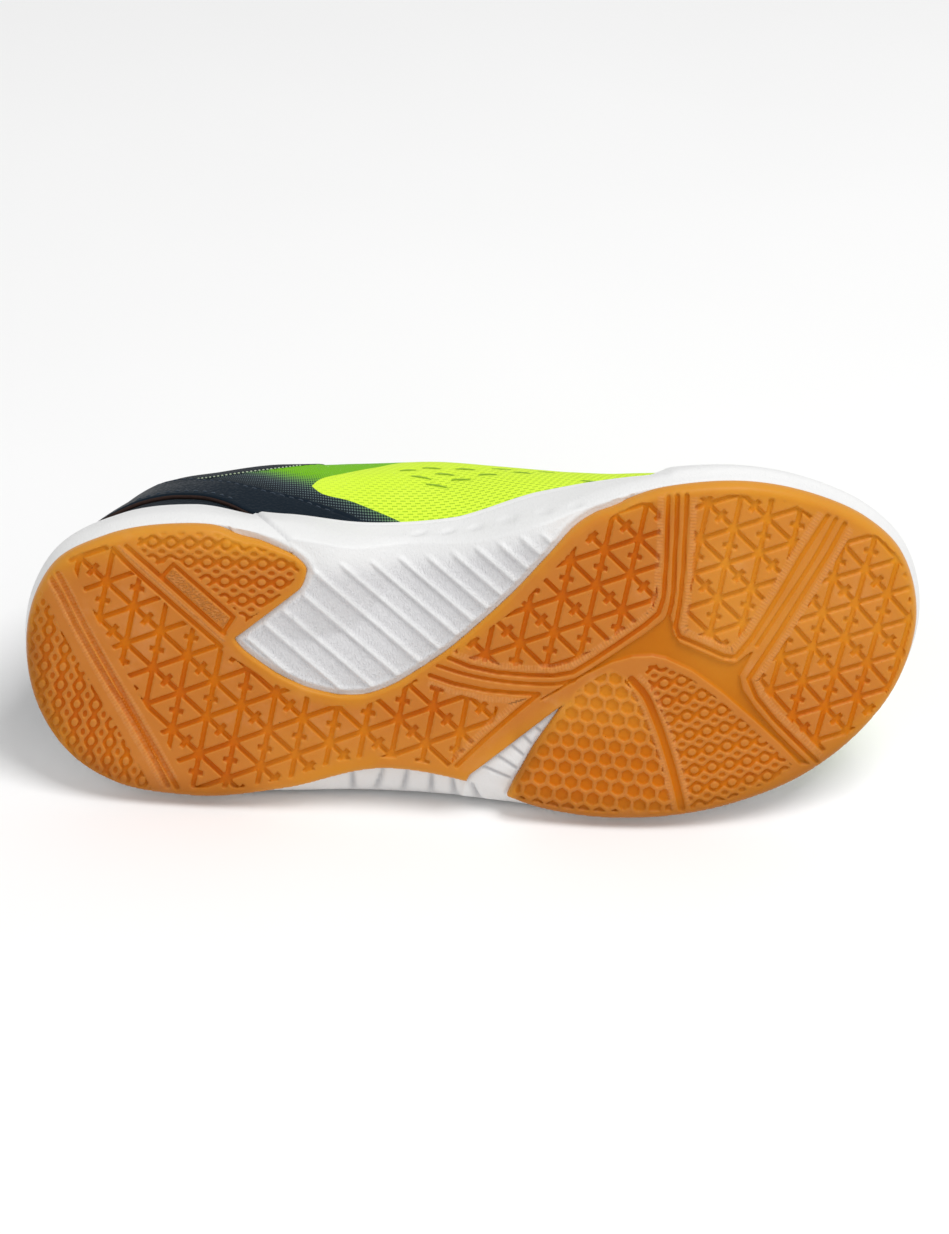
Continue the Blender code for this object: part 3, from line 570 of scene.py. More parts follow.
def gum_rubber():
    n = Nodes("gum_rubber_tread")
    at = n.where()
    depth, edge = n.attr("depth"), n.attr("edge")
    blotch = n.noise(at, 90.0, 3.0, 0.55)
    fine = n.noise(at, 1400.0, 2.0, 0.6)
    plate = n.mix(blotch, lin(187, 110, 36), lin(201, 125, 52))
    # painted highlight: the bevelled lip round each raised plate is painted lighter
    lip = n.math("MULTIPLY", n.ramp(depth, 0.02, 0.16),
                 n.ramp(depth, 0.20, 0.42, 1.0, 0.0))
    plate = n.mix(n.math("MULTIPLY", lip, 0.55), plate, lin(206, 138, 56))
    groove = n.mix(blotch, lin(188, 88, 0), lin(204, 106, 0))
    thin = n.ramp(n.noise(at, 26.0, 2.0, 0.5), 0.42, 0.62)
    groove = n.mix(n.math("MULTIPLY", thin, 0.50), groove, lin(210, 124, 0))
    # painted glow pales the grooves there too
    groove = n.mix(n.math("MULTIPLY", n.attr("painted_glow"), 0.55), groove,
                   lin(208, 132, 0))
    colour = n.mix(n.ramp(depth, 0.18, 0.62), plate, groove)
    # smooth channels are plainer and a little paler than the cut grooves
    colour = n.mix(n.math("MULTIPLY", n.attr("plain"), 0.85), colour,
                   n.mix(blotch, lin(184, 104, 8), lin(196, 118, 16)))
    # painted light: the toe and the heel's inner edge are painted paler and yellower, a glow where light comes
    # through the thin rubber
    colour = n.mix(n.math("MULTIPLY", n.attr("painted_glow"), n.ramp(
        n.noise(at, 30.0, 3.0, 0.6), 0.30, 0.62, 0.22, 0.46)), colour,
        lin(226, 152, 52))
    # light gathers where the rubber thins out to its edge
    glow = n.math("MULTIPLY", n.ramp(edge, 7.5, 0.8), n.ramp(
        n.noise(at, 38.0, 3.0, 0.6), 0.30, 0.66))
    colour = n.mix(n.math("MULTIPLY", glow, 0.50), colour, lin(214, 144, 18))
    colour = n.mix(n.ramp(edge, 2.4, 0.2, 0.0, 0.62), colour,
                   lin(210, 146, 52))
    # dust of the floor in the texture, and a few dark specks
    speck = n.ramp(n.noise(at, 620.0, 1.0), 0.81, 0.84)
    colour = n.mix(n.math("MULTIPLY", speck, 0.7), colour, lin(96, 46, 12))
    dust = n.math("MULTIPLY", n.ramp(n.noise(at, 55.0, 4.0, 0.65), 0.52, 0.78),
                  n.ramp(depth, 0.12, 0.0))
    colour = n.mix(n.math("MULTIPLY", dust, 0.16), colour, lin(232, 178, 134))
    tick = n.math("MULTIPLY", wave(n, n.attr("along"), 0.78), n.attr("hatch"))
    worm = n.math("MULTIPLY", n.attr("label"), n.ramp(
        n.noise(n.stretch(at, (1.0, 1.0, 2.6)), 900.0, 2.0, 0.5, 0.6),
        0.40, 0.62))
    bead = n.math("MULTIPLY", n.attr("hatch"), n.ramp(
        n.noise(at, 760.0, 2.0, 0.6), 0.30, 0.70, 0.10, 0.42))
    colour = n.mix(bead, colour, lin(214, 148, 88))
    colour = n.mix(n.math("MULTIPLY", tick, 0.16), colour, lin(226, 150, 84))
    # painted shade: the lower outer edge, turned away from the light, is painted browner
    painted_edge_shade = n.math("MULTIPLY", n.attr("painted_edge_shade"), n.ramp(edge, 8.0, 0.0))
    colour = n.mix(n.math("MULTIPLY", painted_edge_shade, 0.62), colour, lin(146, 80, 22))
    colour = n.mix(n.math("MULTIPLY", worm, 0.30), colour, lin(224, 150, 88))
    normal = n.bump(tick, 0.00008)
    normal = n.bump(worm, 0.00030, 1.0, normal)
    normal = n.bump(fine, 0.00005, 0.6, normal)
    normal = n.bump(n.noise(at, 420.0, 3.0, 0.6), 0.00008, 0.5, normal)
    rough = n.ramp(n.math("ADD", fine, n.math("MULTIPLY", depth, 0.25)), 0.2,
                   1.1, 0.34, 0.56)
    return n.finish(colour, rough, normal, Specular_IOR_Level=0.12,
                    Coat_Weight=0.01, Coat_Roughness=0.25,
                    Subsurface_Weight=0.10,
                    Subsurface_Radius=(1.0, 0.4, 0.1), Subsurface_Scale=0.0016)


def white_foam():
    n = Nodes("white_foam_skin")
    at = n.where()
    crush = n.voronoi(n.stretch(at, (1.0, 1.0, 0.62)), 620.0, "SMOOTH_F1")
    pits = n.noise(at, 1500.0, 3.0, 0.6)
    broad = n.noise(at, 60.0, 3.0)
    under = n.attr("under")
    colour = n.mix(broad, lin(227, 227, 227), lin(235, 235, 234))
    # painted shade: the arch's underside is painted greyer, as it faces away from the light; the same mask
    # also sets how strong the skin's texture is
    colour = n.mix(n.math("MULTIPLY", under, 0.8), colour,
                   n.mix(broad, lin(208, 207, 209), lin(219, 218, 220)))
    # painted shade: dark lines in cuts, dents and creases and along the gap at the rubber's edge
    colour = n.mix(n.math("MULTIPLY", n.attr("shade_line"), 0.62), colour,
                   lin(130, 131, 138))
    smudge = n.ramp(n.noise(at, 42.0, 4.0, 0.7), 0.60, 0.80)
    colour = n.mix(n.math("MULTIPLY", smudge, 0.10), colour, lin(202, 198, 192))
    worm = n.noise(n.stretch(at, (2.3, 1.0, 1.0)), 1150.0, 2.0, 0.55, 0.7)
    height = n.math("ADD", n.math("MULTIPLY", crush, 0.22), worm)
    height = n.math("MULTIPLY", height, n.ramp(under, 0.0, 1.0, 0.35, 1.0))
    normal = n.bump(height, 0.00055, 0.8)
    normal = n.bump(pits, 0.00010, 0.6, normal)
    return n.finish(colour, n.ramp(pits, 0.2, 0.9, 0.46, 0.66), normal,
                    Specular_IOR_Level=0.35)


def knit(n, uv, pitch_u, pitch_v):
    """Height and holes of an open knit, uv in millimetres."""
    u, v, _ = n.split(uv)
    row = n.math("DIVIDE", v, pitch_v)
    half = n.math("MULTIPLY", n.math("MODULO", n.math("FLOOR", row), 2.0), 0.5)
    cell = n.math("ADD", n.math("DIVIDE", u, pitch_u), half)
    du = n.math("ABSOLUTE", n.math("SUBTRACT", n.math("FRACT", cell), 0.5))
    dv = n.math("ABSOLUTE", n.math("SUBTRACT", n.math("FRACT", row), 0.5))
    hole = n.math("MULTIPLY", n.ramp(du, 0.34, 0.22), n.ramp(dv, 0.26, 0.10))
    loops = n.math("MULTIPLY", wave(n, u, pitch_u * 0.25),
                   wave(n, v, pitch_v * 0.5))
    return hole, loops


def lime_mesh():
    """Lime knit with a leaf-shaped print on a green to navy fade."""
    n = Nodes("lime_knit_print")
    at, uv = n.where(), n.uv()
    leaf, fade, dark = n.attr("leaf"), n.attr("fade"), n.attr("dark")
    slit, sew = n.attr("slit"), n.attr("sew")
    hole, loops = knit(n, uv, 2.2, 1.1)
    tint = n.noise(at, 70.0, 3.0)
    lime = n.mix(tint, lin(214, 248, 52), lin(222, 252, 70))
    lime = n.mix(n.math("MULTIPLY", loops, 0.14), lime, lin(192, 232, 30))
    lime = n.mix(n.math("MULTIPLY", hole, n.attr("open")), lime,
                 lin(150, 192, 14))
    # fade: fine dots of green over navy, closer together towards the top
    u, v, _ = n.split(uv)
    tall = n.math("MULTIPLY", v, 0.55)
    d1 = n.math("SINE", n.math("MULTIPLY", n.math("ADD", u, tall),
                               math.pi / 0.62))
    d2 = n.math("SINE", n.math("MULTIPLY", n.math("SUBTRACT", u, tall),
                               math.pi / 0.62))
    dots = n.math("MULTIPLY_ADD", n.math("MULTIPLY", d1, d2), 0.5, 0.5)
    share = n.math("SUBTRACT", n.math("ADD", fade, dots), 1.0)
    green = n.mix(n.ramp(fade, 0.30, 0.85), lin(92, 108, 112), lin(118, 192, 2))
    navy = n.mix(tint, lin(13, 24, 32), lin(21, 33, 43))
    faded = n.mix(n.ramp(share, -0.10, 0.14), navy, green)
    colour = n.mix(n.ramp(leaf, -0.12, 0.12), lime, faded)
    colour = n.mix(n.ramp(dark, 0.10, -0.10), colour, navy)
    # painted shade: the knit is darkened along each vent's dent
    colour = n.mix(n.math("MULTIPLY", slit, 0.25), colour, lin(150, 190, 20))
    colour = n.mix(n.math("MULTIPLY", sew, 0.5), colour, lin(20, 26, 32))
    weave = n.math("SUBTRACT", loops, n.math("MULTIPLY", hole, 1.6))
    normal = n.bump(weave, 0.00016, 0.6)
    normal = n.bump(n.noise(at, 2600.0, 2.0), 0.00006, 0.5, normal)
    return n.finish(colour, 0.82, normal, Sheen_Weight=0.06,
                    Sheen_Roughness=0.5, Specular_IOR_Level=0.12)


def navy_synthetic(name="navy_synthetic_grain", light=1.0):
    n = Nodes(name)
    at = n.where()
    grain = n.voronoi(at, 1500.0, "SMOOTH_F1")
    broad = n.noise(at, 80.0, 4.0, 0.6)
    colour = n.mix(broad, lin(8 * light, 21 * light, 31 * light),
                   lin(16 * light, 31 * light, 43 * light))
    worn = n.ramp(n.noise(at, 240.0, 4.0, 0.7), 0.60, 0.80)
    colour = n.mix(n.math("MULTIPLY", worn, 0.18), colour, lin(84, 96, 108))
    normal = n.bump(grain, 0.00016, 0.6)
    normal = n.bump(n.noise(at, 300.0, 3.0), 0.00025, 0.35, normal)
    return n.finish(colour, n.ramp(grain, 0.0, 0.7, 0.40, 0.58), normal,
                    Specular_IOR_Level=0.11, Coat_Weight=0.015,
                    Coat_Roughness=0.4)


def cut_edge():
    n = Nodes("brown_cut_edge")
    at = n.where()
    fuzz = n.noise(at, 900.0, 4.0, 0.7)
    colour = n.mix(fuzz, lin(24, 17, 16), lin(60, 40, 32))
    return n.finish(colour, 0.8, n.bump(fuzz, 0.00025), Specular_IOR_Level=0.2)


def lining(name, a, b, pitch=0.9):
    """Close knitted lining, uv in millimetres."""
    n = Nodes(name)
    at, uv = n.where(), n.uv()
    hole, loops = knit(n, uv, pitch * 1.6, pitch)
    colour = n.mix(n.noise(at, 120.0, 3.0), a, b)
    colour = n.mix(n.math("MULTIPLY", hole, 0.55), colour, lin(10, 12, 16))
    colour = n.mix(n.math("MULTIPLY", loops, 0.20), colour, lin(96, 106, 118))
    normal = n.bump(n.math("SUBTRACT", loops, hole), 0.0003, 0.7)
    return n.finish(colour, 0.9, normal, Sheen_Weight=0.25,
                    Sheen_Roughness=0.6, Specular_IOR_Level=0.2)


def lace_weave():
    """Flat braid: two slanted sets of yarn, uv in millimetres."""
    n = Nodes("lime_lace_braid")
    at, uv = n.where(), n.uv()
    u, v, _ = n.split(uv)
    a = wave(n, n.math("ADD", u, n.math("MULTIPLY", v, 0.9)), 1.15)
    b = wave(n, n.math("SUBTRACT", u, n.math("MULTIPLY", v, 0.9)), 1.15)
    yarn = n.math("MAXIMUM", a, b)
    colour = n.mix(n.ramp(yarn, 0.35, 0.95), lin(150, 188, 24), lin(214, 246, 74))
    colour = n.mix(n.math("MULTIPLY", n.noise(at, 300.0, 3.0), 0.25), colour,
                   lin(190, 226, 48))
    return n.finish(colour, 0.8, n.bump(yarn, 0.00030, 0.9),
                    Sheen_Weight=0.25, Sheen_Roughness=0.5,
                    Specular_IOR_Level=0.25)


def thread(name, a, b):
    n = Nodes(name)
    at = n.where()
    twist = n.noise(n.stretch(at, (1.0, 1.0, 1.0)), 3200.0, 2.0)
    return n.finish(n.mix(twist, a, b), 0.7, n.bump(twist, 0.0001),
                    Sheen_Weight=0.2, Specular_IOR_Level=0.3)


GUM, FOAM, LIME = gum_rubber(), white_foam(), lime_mesh()
NAVY, EDGE = navy_synthetic(), cut_edge()
LINING = lining("collar_lining_knit", lin(30, 38, 46), lin(42, 52, 62))
SOCK = lining("sock_liner_knit", lin(44, 50, 58), lin(58, 66, 76), 1.1)
TONGUE = lining("tongue_spacer_mesh", lin(34, 44, 54), lin(46, 58, 70), 1.7)
LACE = lace_weave()
THREAD = thread("slate_thread", lin(22, 33, 45), lin(46, 62, 78))
PALE = thread("pale_thread", lin(150, 168, 140), lin(196, 210, 180))
LIME_THREAD = thread("lime_thread", lin(186, 226, 40), lin(214, 244, 90))

# ------------------------------------------------------------ tread, by pixels
# Places on the tread are given as they lie in the 949 x 1234 photograph.
# Grooves: way, half width, depth (mm), and the width of the hatched strip to
# the right and left of the way.
HEEL_LEFT = ((50, 577), (61, 596), (73.5, 622), (92, 655), (112, 689),
             (130.5, 719), (148.5, 751), (167.5, 786))
HEEL_RIGHT = ((58, 574), (69.5, 596), (82.5, 622), (101, 656), (122, 693),
              (141, 726), (159, 757), (177, 788))
RIDGE_LEFT = ((113, 549), (122.4, 559), (165, 598), (221, 647))
RIDGE_RIGHT = ((126.3, 546.7), (158.8, 575.4), (224, 634))
BAR_FRAME = ((161.7, 577.3), (173.2, 564.9), (233.4, 617.5), (223.9, 631.9))
BLOCK_A = ((448.7, 658.5), (469.7, 667.1), (496.5, 672.9), (527.1, 675.7),
           (553.9, 676.3), (573, 672.9), (592.2, 661.4), (620.9, 642.3),
           (645.7, 625), (658.5, 613.8), (663.5, 599), (666, 568),
           (668.8, 496))
WAIST_MID = ((437, 666), (466, 675), (497, 681), (527, 684), (556, 684.5),
             (574, 681))
WAIST_LOW = ((429.6, 675.7), (454.4, 684.4), (487, 691.1), (515.7, 693.6),
             (538.6, 694.5), (515.7, 713), (487, 737.9), (456.5, 766.5))
BETWEEN_AB = ((677.6, 496), (675.1, 554.2), (670.2, 610.3), (666.7, 622))
BLOCK_B = ((687, 496), (683.5, 568.2), (680, 603.3), (675.8, 627.2),
           (679.3, 637), (698.9, 645.4), (724.2, 656.6), (735.4, 658),
           (752.2, 638.4), (780.3, 593.5), (801.4, 557), (828, 516))
BETWEEN_BC = ((836.4, 519), (815.4, 557), (787.3, 600.5), (757, 646))
BLOCK_C = ((845, 524), (829.4, 552.8), (808.4, 586.5), (780.3, 631.4),
           (763.5, 657), (748.5, 679.6), (756.3, 698), (774.7, 720.4),
           (795.1, 740.8), (817, 762))
FLUTE_DE = ((631.5, 680), (644, 694), (656, 720), (666.5, 750), (675, 780),
            (681.5, 808))
GROOVES = (
    (HEEL_LEFT, 2.6, 0.75, 0.0, 11.0), (HEEL_RIGHT, 2.6, 0.75, 12.0, 0.0),
    (RIDGE_LEFT, 2.4, 0.75, 0.0, 6.0), (RIDGE_RIGHT, 2.4, 0.75, 6.0, 0.0),
    (BAR_FRAME, 2.1, 0.75, 0.0, 0.0),
    (BLOCK_A, 2.2, 0.80, 0.0, 9.0), (WAIST_MID, 2.0, 0.70, 0.0, 0.0),
    (WAIST_LOW, 2.2, 0.80, 9.0, 0.0), (BETWEEN_AB, 2.2, 0.85, 0.0, 0.0),
    (BLOCK_B, 2.2, 0.80, 0.0, 9.5), (BETWEEN_BC, 2.0, 0.75, 0.0, 0.0),
    (BLOCK_C, 2.2, 0.80, 0.0, 9.0), (FLUTE_DE, 3.6, 0.85, 8.0, 8.0),
)
CHANNEL = (
    (541, 700), (560, 689), (590, 671), (620, 651.5), (648, 633), (664, 621),
    (668, 616), (672, 624), (672.5, 635), (680, 644), (700, 652.5),
    (722, 662), (736, 664.5), (747, 656), (752, 653), (744, 667), (739, 676),
    (742, 690), (755, 709), (775, 732), (808, 764), (800, 764), (780.8, 744),
    (754.3, 719.5), (723.7, 693), (693, 670.8), (666.5, 658.5),
    (652.2, 655.5), (632, 656.5), (612, 662), (584, 675), (560, 689.5))
BAR = ((161.7, 577.3), (173.2, 564.9), (233.4, 617.5), (223.9, 631.9))

# Zones of the small repeats.
ZONE_G = (
    (72, 566), (84, 590), (97, 620), (115, 652), (136, 690), (155, 723),
    (172, 752), (192, 788), (240, 788), (290, 778), (338, 761), (366, 757),
    (397, 758), (424, 763), (447, 768), (478, 738), (494, 721), (498, 708),
    (484, 702), (455, 694), (430, 685), (416, 680), (398, 692), (365, 706),
    (330, 707), (303, 696), (270, 683), (240, 663), (222, 651), (186, 624),
    (163, 602), (134, 575), (117, 558), (106, 546), (94, 540), (78, 546),
    (64, 556))
ZONE_A = (
    (452, 652), (475, 661), (500, 665), (527, 667.5), (552, 668), (570, 664.5),
    (588, 653.5), (616, 635.5), (642, 618), (653, 608), (657, 597), (659, 560),
    (661, 503), (640, 504), (620, 512), (600, 526), (578, 545), (545, 580),
    (518, 608), (480, 636))
ZONE_B = (
    (696, 499), (693, 568), (689, 603), (685, 623), (690, 631), (704, 637.5),
    (726, 647), (731, 647), (743, 632), (771, 588), (792, 552), (812, 516),
    (790, 503), (760, 497), (725, 495))
ZONE_C = (
    (853, 532), (838, 558), (817, 592), (789, 637), (773, 661), (759, 680),
    (764, 691), (782, 713), (802, 733), (822, 752), (846, 735), (869, 716),
    (888, 692), (904, 657), (912, 620), (910, 582), (899, 558), (878, 537))
ZONE_H = (
    (134, 542), (150, 532), (175, 528), (205, 527.5), (228, 529), (254, 538.5),
    (275, 547), (292, 556), (300, 566), (299, 573), (286, 591), (264, 609), (246, 622), (240, 615), (178, 560),
    (168, 561), (158, 566), (146, 556))
ZONE_F = (
    (38, 586), (49, 605), (61, 631), (79, 664), (99, 698), (117, 728),
    (135, 760), (153, 792), (125, 784), (95, 773), (70, 758), (50, 736),
    (37, 712), (30, 682), (29, 645), (32, 610))
ZONE_D = (
    (644, 667), (660, 665), (690, 679), (720, 701), (750, 727), (776, 751),
    (792, 766), (772, 781), (740, 795), (705, 806), (691, 809), (685, 780),
    (676, 749), (665, 720), (652, 694))
ZONE_E = (
    (590, 682), (611, 671), (625, 679), (636, 696), (647, 722), (658, 752),
    (667, 784), (672, 811), (640, 812), (600, 812), (560, 808), (518, 798),
    (514, 790), (534, 754), (549, 734), (566, 710), (577, 692))
# Triangle repeats: zone, a node, the two ways of its rows.
TRIANGLES = (
    (ZONE_G, (214.4, 681.0), (34.5, -11.9), (27.0, 24.7)),
    (ZONE_A, (604.9, 550.0), (34.1, -11.1), (25.8, 24.7)),
    (ZONE_B, (734.0, 528.9), (33.6, -10.4), (25.6, 24.6)),
    (ZONE_C, (855.7, 603.7), (32.5, -9.4), (22.3, 25.0)),
)
# Chain repeats: zone, a link, the way along a chain and to the next chain.
CHAINS = (
    (ZONE_H, (224.8, 581.6), (18.45, 0.6), (-0.9, 18.4)),
    (ZONE_F, (95.5, 705.5), (-2.3, 18.1), (18.6, 1.0)),
    (ZONE_D, (692.0, 752.7), (17.6, -3.06), (2.5, 18.0)),
)
DIMPLES = (ZONE_E, (580.5, 770.3), (15.6, 2.2), (-9.45, 12.4))


def triangles(p, node, v2, v1):
    """Depth share of the triangle grooves with their cross strokes."""
    v1, v2 = np.array(v1), np.array(v2)
    v3 = v1 - v2
    m = np.linalg.inv(np.stack((v2, v1), 1))
    q = p - np.array(node)
    a, b = (q @ m.T).T
    area = abs(v1[0] * v2[1] - v1[1] * v2[0])
    gap = np.full(len(p), 1e9)
    for value, v in ((b, v2), (a, v1), (a + b, v3)):
        gap = np.minimum(gap, np.abs(value - np.round(value)) * area
                         / math.hypot(*v))
    depth = 1.0 - smooth((gap - 1.5) / 1.9)
    hub = np.full(len(p), 1e9)
    for da in (0, 1):
        for db in (0, 1):
            ca, cb = np.floor(a) + da, np.floor(b) + db
            r = q - ca[:, None] * v2 - cb[:, None] * v1
            hub = np.minimum(hub, np.hypot(r[:, 0], r[:, 1]))
    depth = np.maximum(depth, 1.0 - smooth((hub - 3.6) / 2.0))
    for kind in (0, 1):
        b0 = np.floor(b)
        if kind == 0:
            a0, v, keep = np.round(a), v1, np.mod(b0, 2) == 1
        else:
            a0, v, keep = np.round(a + b) - b0 - 0.5, v3, np.mod(b0, 2) == 0
        mid = a0[:, None] * v2 + (b0 + 0.5)[:, None] * v1
        r = q - mid
        u = v / math.hypot(*v)
        t = np.abs(r @ u)
        s = np.abs(r[:, 0] * -u[1] + r[:, 1] * u[0])
        ends = np.maximum(t - 1.7, s - 6.4)
        stroke = 1.0 - smooth(ends / 1.7)
        depth = np.where(keep, np.maximum(depth, stroke), depth)
    return depth


def chains(p, node, e1, e2):
    m = np.linalg.inv(np.stack((e1, e2), 1))
    t, s = ((p - np.array(node)) @ m.T).T
    size = math.hypot(*e1)
    ds = np.abs(s - np.round(s)) * size
    dt = np.abs(t - np.round(t)) * size
    wide = 2.5 + 4.5 * (0.5 + 0.5 * np.cos(2 * math.pi * t)) ** 0.8
    trough = 1.0 - smooth((ds - wide + 0.9) / 1.8)
    oval = 1.0 - smooth((np.hypot(dt / 1.30, ds) - 2.5) / 1.7)
    dh = np.abs(s - np.floor(s) - 0.5) * size
    dm = np.abs(t - np.floor(t) - 0.5) * size
    pit = 1.0 - smooth((np.hypot(dm / 1.6, dh) - 1.6) / 1.6)
    return np.maximum(trough * (1.0 - 0.92 * oval), 0.8 * pit)


def dimples(p, node, a, b):
    m = np.linalg.inv(np.stack((a, b), 1))
    q = p - np.array(node)
    t, s = (q @ m.T).T
    best = np.full(len(p), 1e9)
    for dt in (0, 1):
        for ds in (0, 1):
            r = q - (np.floor(t) + dt)[:, None] * np.array(a) \
                - (np.floor(s) + ds)[:, None] * np.array(b)
            hexa = np.zeros(len(p))
            for way in (a, b, np.array(a) + np.array(b)):
                w = np.array(way) / math.hypot(*way)
                hexa = np.maximum(hexa, np.abs(r @ w))
            best = np.minimum(best, hexa)
    return 1.0 - smooth((best - 5.2) / 1.5)


def tread(p):
    """Depth below the tread's face, in mm, at places in the photograph, with
    the masks that the rubber's material reads."""
    depth = np.zeros(len(p))
    hatch, along = np.zeros(len(p)), np.zeros(len(p))
    near = np.full(len(p), 1e9)
    for zone, node, v2, v1 in TRIANGLES:
        sd = poly_sd(p, zone)
        m = sd < 3.0
        share = np.zeros(len(p))
        share[m] = triangles(p[m], node, v2, v1) * smooth((1.0 - sd[m]) / 1.6)
        depth = np.maximum(depth, 0.85 * share)
    bar = poly_sd(p, BAR)
    for zone, node, e1, e2 in CHAINS:
        sd = poly_sd(p, zone)
        m = (sd < 3.0) & (bar > 4.0)
        share = np.zeros(len(p))
        share[m] = chains(p[m], node, e1, e2) * smooth((1.0 - sd[m]) / 1.6)
        depth = np.maximum(depth, 0.75 * share)
    zone, node, a, b = DIMPLES
    sd = poly_sd(p, zone)
    m = sd < 3.0
    share = np.zeros(len(p))
    share[m] = dimples(p[m], node, a, b) * smooth((1.0 - sd[m]) / 2.0)
    depth = np.maximum(depth, 0.75 * share)
    for way, half, deep, right, left in GROOVES:
        way = np.array(way) if way in (BAR_FRAME, WAIST_LOW, BLOCK_A, BLOCK_B,
                                       BLOCK_C) else curve_through(way, 60)
        d, run, side = line_dist(p, way)
        ends = np.minimum(run, line_dist(p, way[::-1])[1])
        depth = np.maximum(depth, deep * (1.0 - smooth((d - half + 0.9) / 1.8)))
        for width, sign in ((right, 1.0), (left, -1.0)):
            if width:
                m = d < near
                near[m] = d[m]
                along[m] = run[m] / PX
                strip = smooth((d - half - 1.4) / 1.4) * smooth(
                    (half + width - d) / 1.5) * smooth(ends / 2.0)
                hatch = np.maximum(hatch, np.where(side * sign > 0, strip, 0.0))
    sd = poly_sd(p, CHANNEL)
    plain = smooth((2.0 - sd) / 3.0)
    depth = depth * (1.0 - plain) + np.maximum(depth, 1.0) * plain
    label = smooth((-2.6 - bar) / 1.0)
    # painted glow: paler, yellower rubber at the toe and the heel's inner edge
    painted_glow = np.maximum(
        smooth((p[:, 0] - 655.0) / 70.0) * smooth((712.0 - p[:, 1]) / 90.0),
        smooth((580.0 - p[:, 1]) / 50.0) * smooth((330.0 - p[:, 0]) / 60.0))
    # painted glow also on the dimples nearest to the middle of the ball
    painted_glow = np.maximum(painted_glow, 0.8 * smooth((760.0 - p[:, 1]) / 60.0) * smooth(
        (4.0 - poly_sd(p, ZONE_E)) / 4.0))
    # and painted glow along the waist's thin outer edge
    waist = smooth((p[:, 0] - 225.0) / 60.0) * smooth((520.0 - p[:, 0]) / 12.0)
    painted_glow = np.maximum(painted_glow, 0.6 * waist * smooth((p[:, 1] - 705.0) / 55.0))
    # painted shade along the lower outer edge and round the heel's back
    painted_edge_shade = np.maximum(
        smooth((p[:, 1] - 700.0) / 70.0) * (1.0 - waist),
        smooth((110.0 - p[:, 0]) / 70.0) * smooth((p[:, 1] - 575.0) / 90.0))
    hatch = hatch * (1.0 - plain) * (bar > 2.0)
    return depth, hatch, along, plain, label, painted_glow, painted_edge_shade


def run_out(x, y):
    """1 where a cut in the rubber runs out into its outer edge, else 0."""
    heel = smooth((66.0 - x) / 14.0) * smooth((-20.0 - y) / 6.0)
    ball = smooth((x - 122.0) / 14.0) * smooth((-22.0 - y) / 10.0)
    outer = smooth((y - 30.0) / 10.0)
    return np.maximum(np.maximum(heel, ball), outer)


SOLE_EDGE = sole_base(np.linspace(0.0, AROUND, 720, endpoint=False))[0]


def bend(sd_edge, sd_arch, k=5.0):
    """How far the rubber's edge draws back where the arch cut leaves it."""
    near = np.clip(k - np.abs(sd_edge + sd_arch), 0.0, None) / k
    return 0.25 * k * near * near


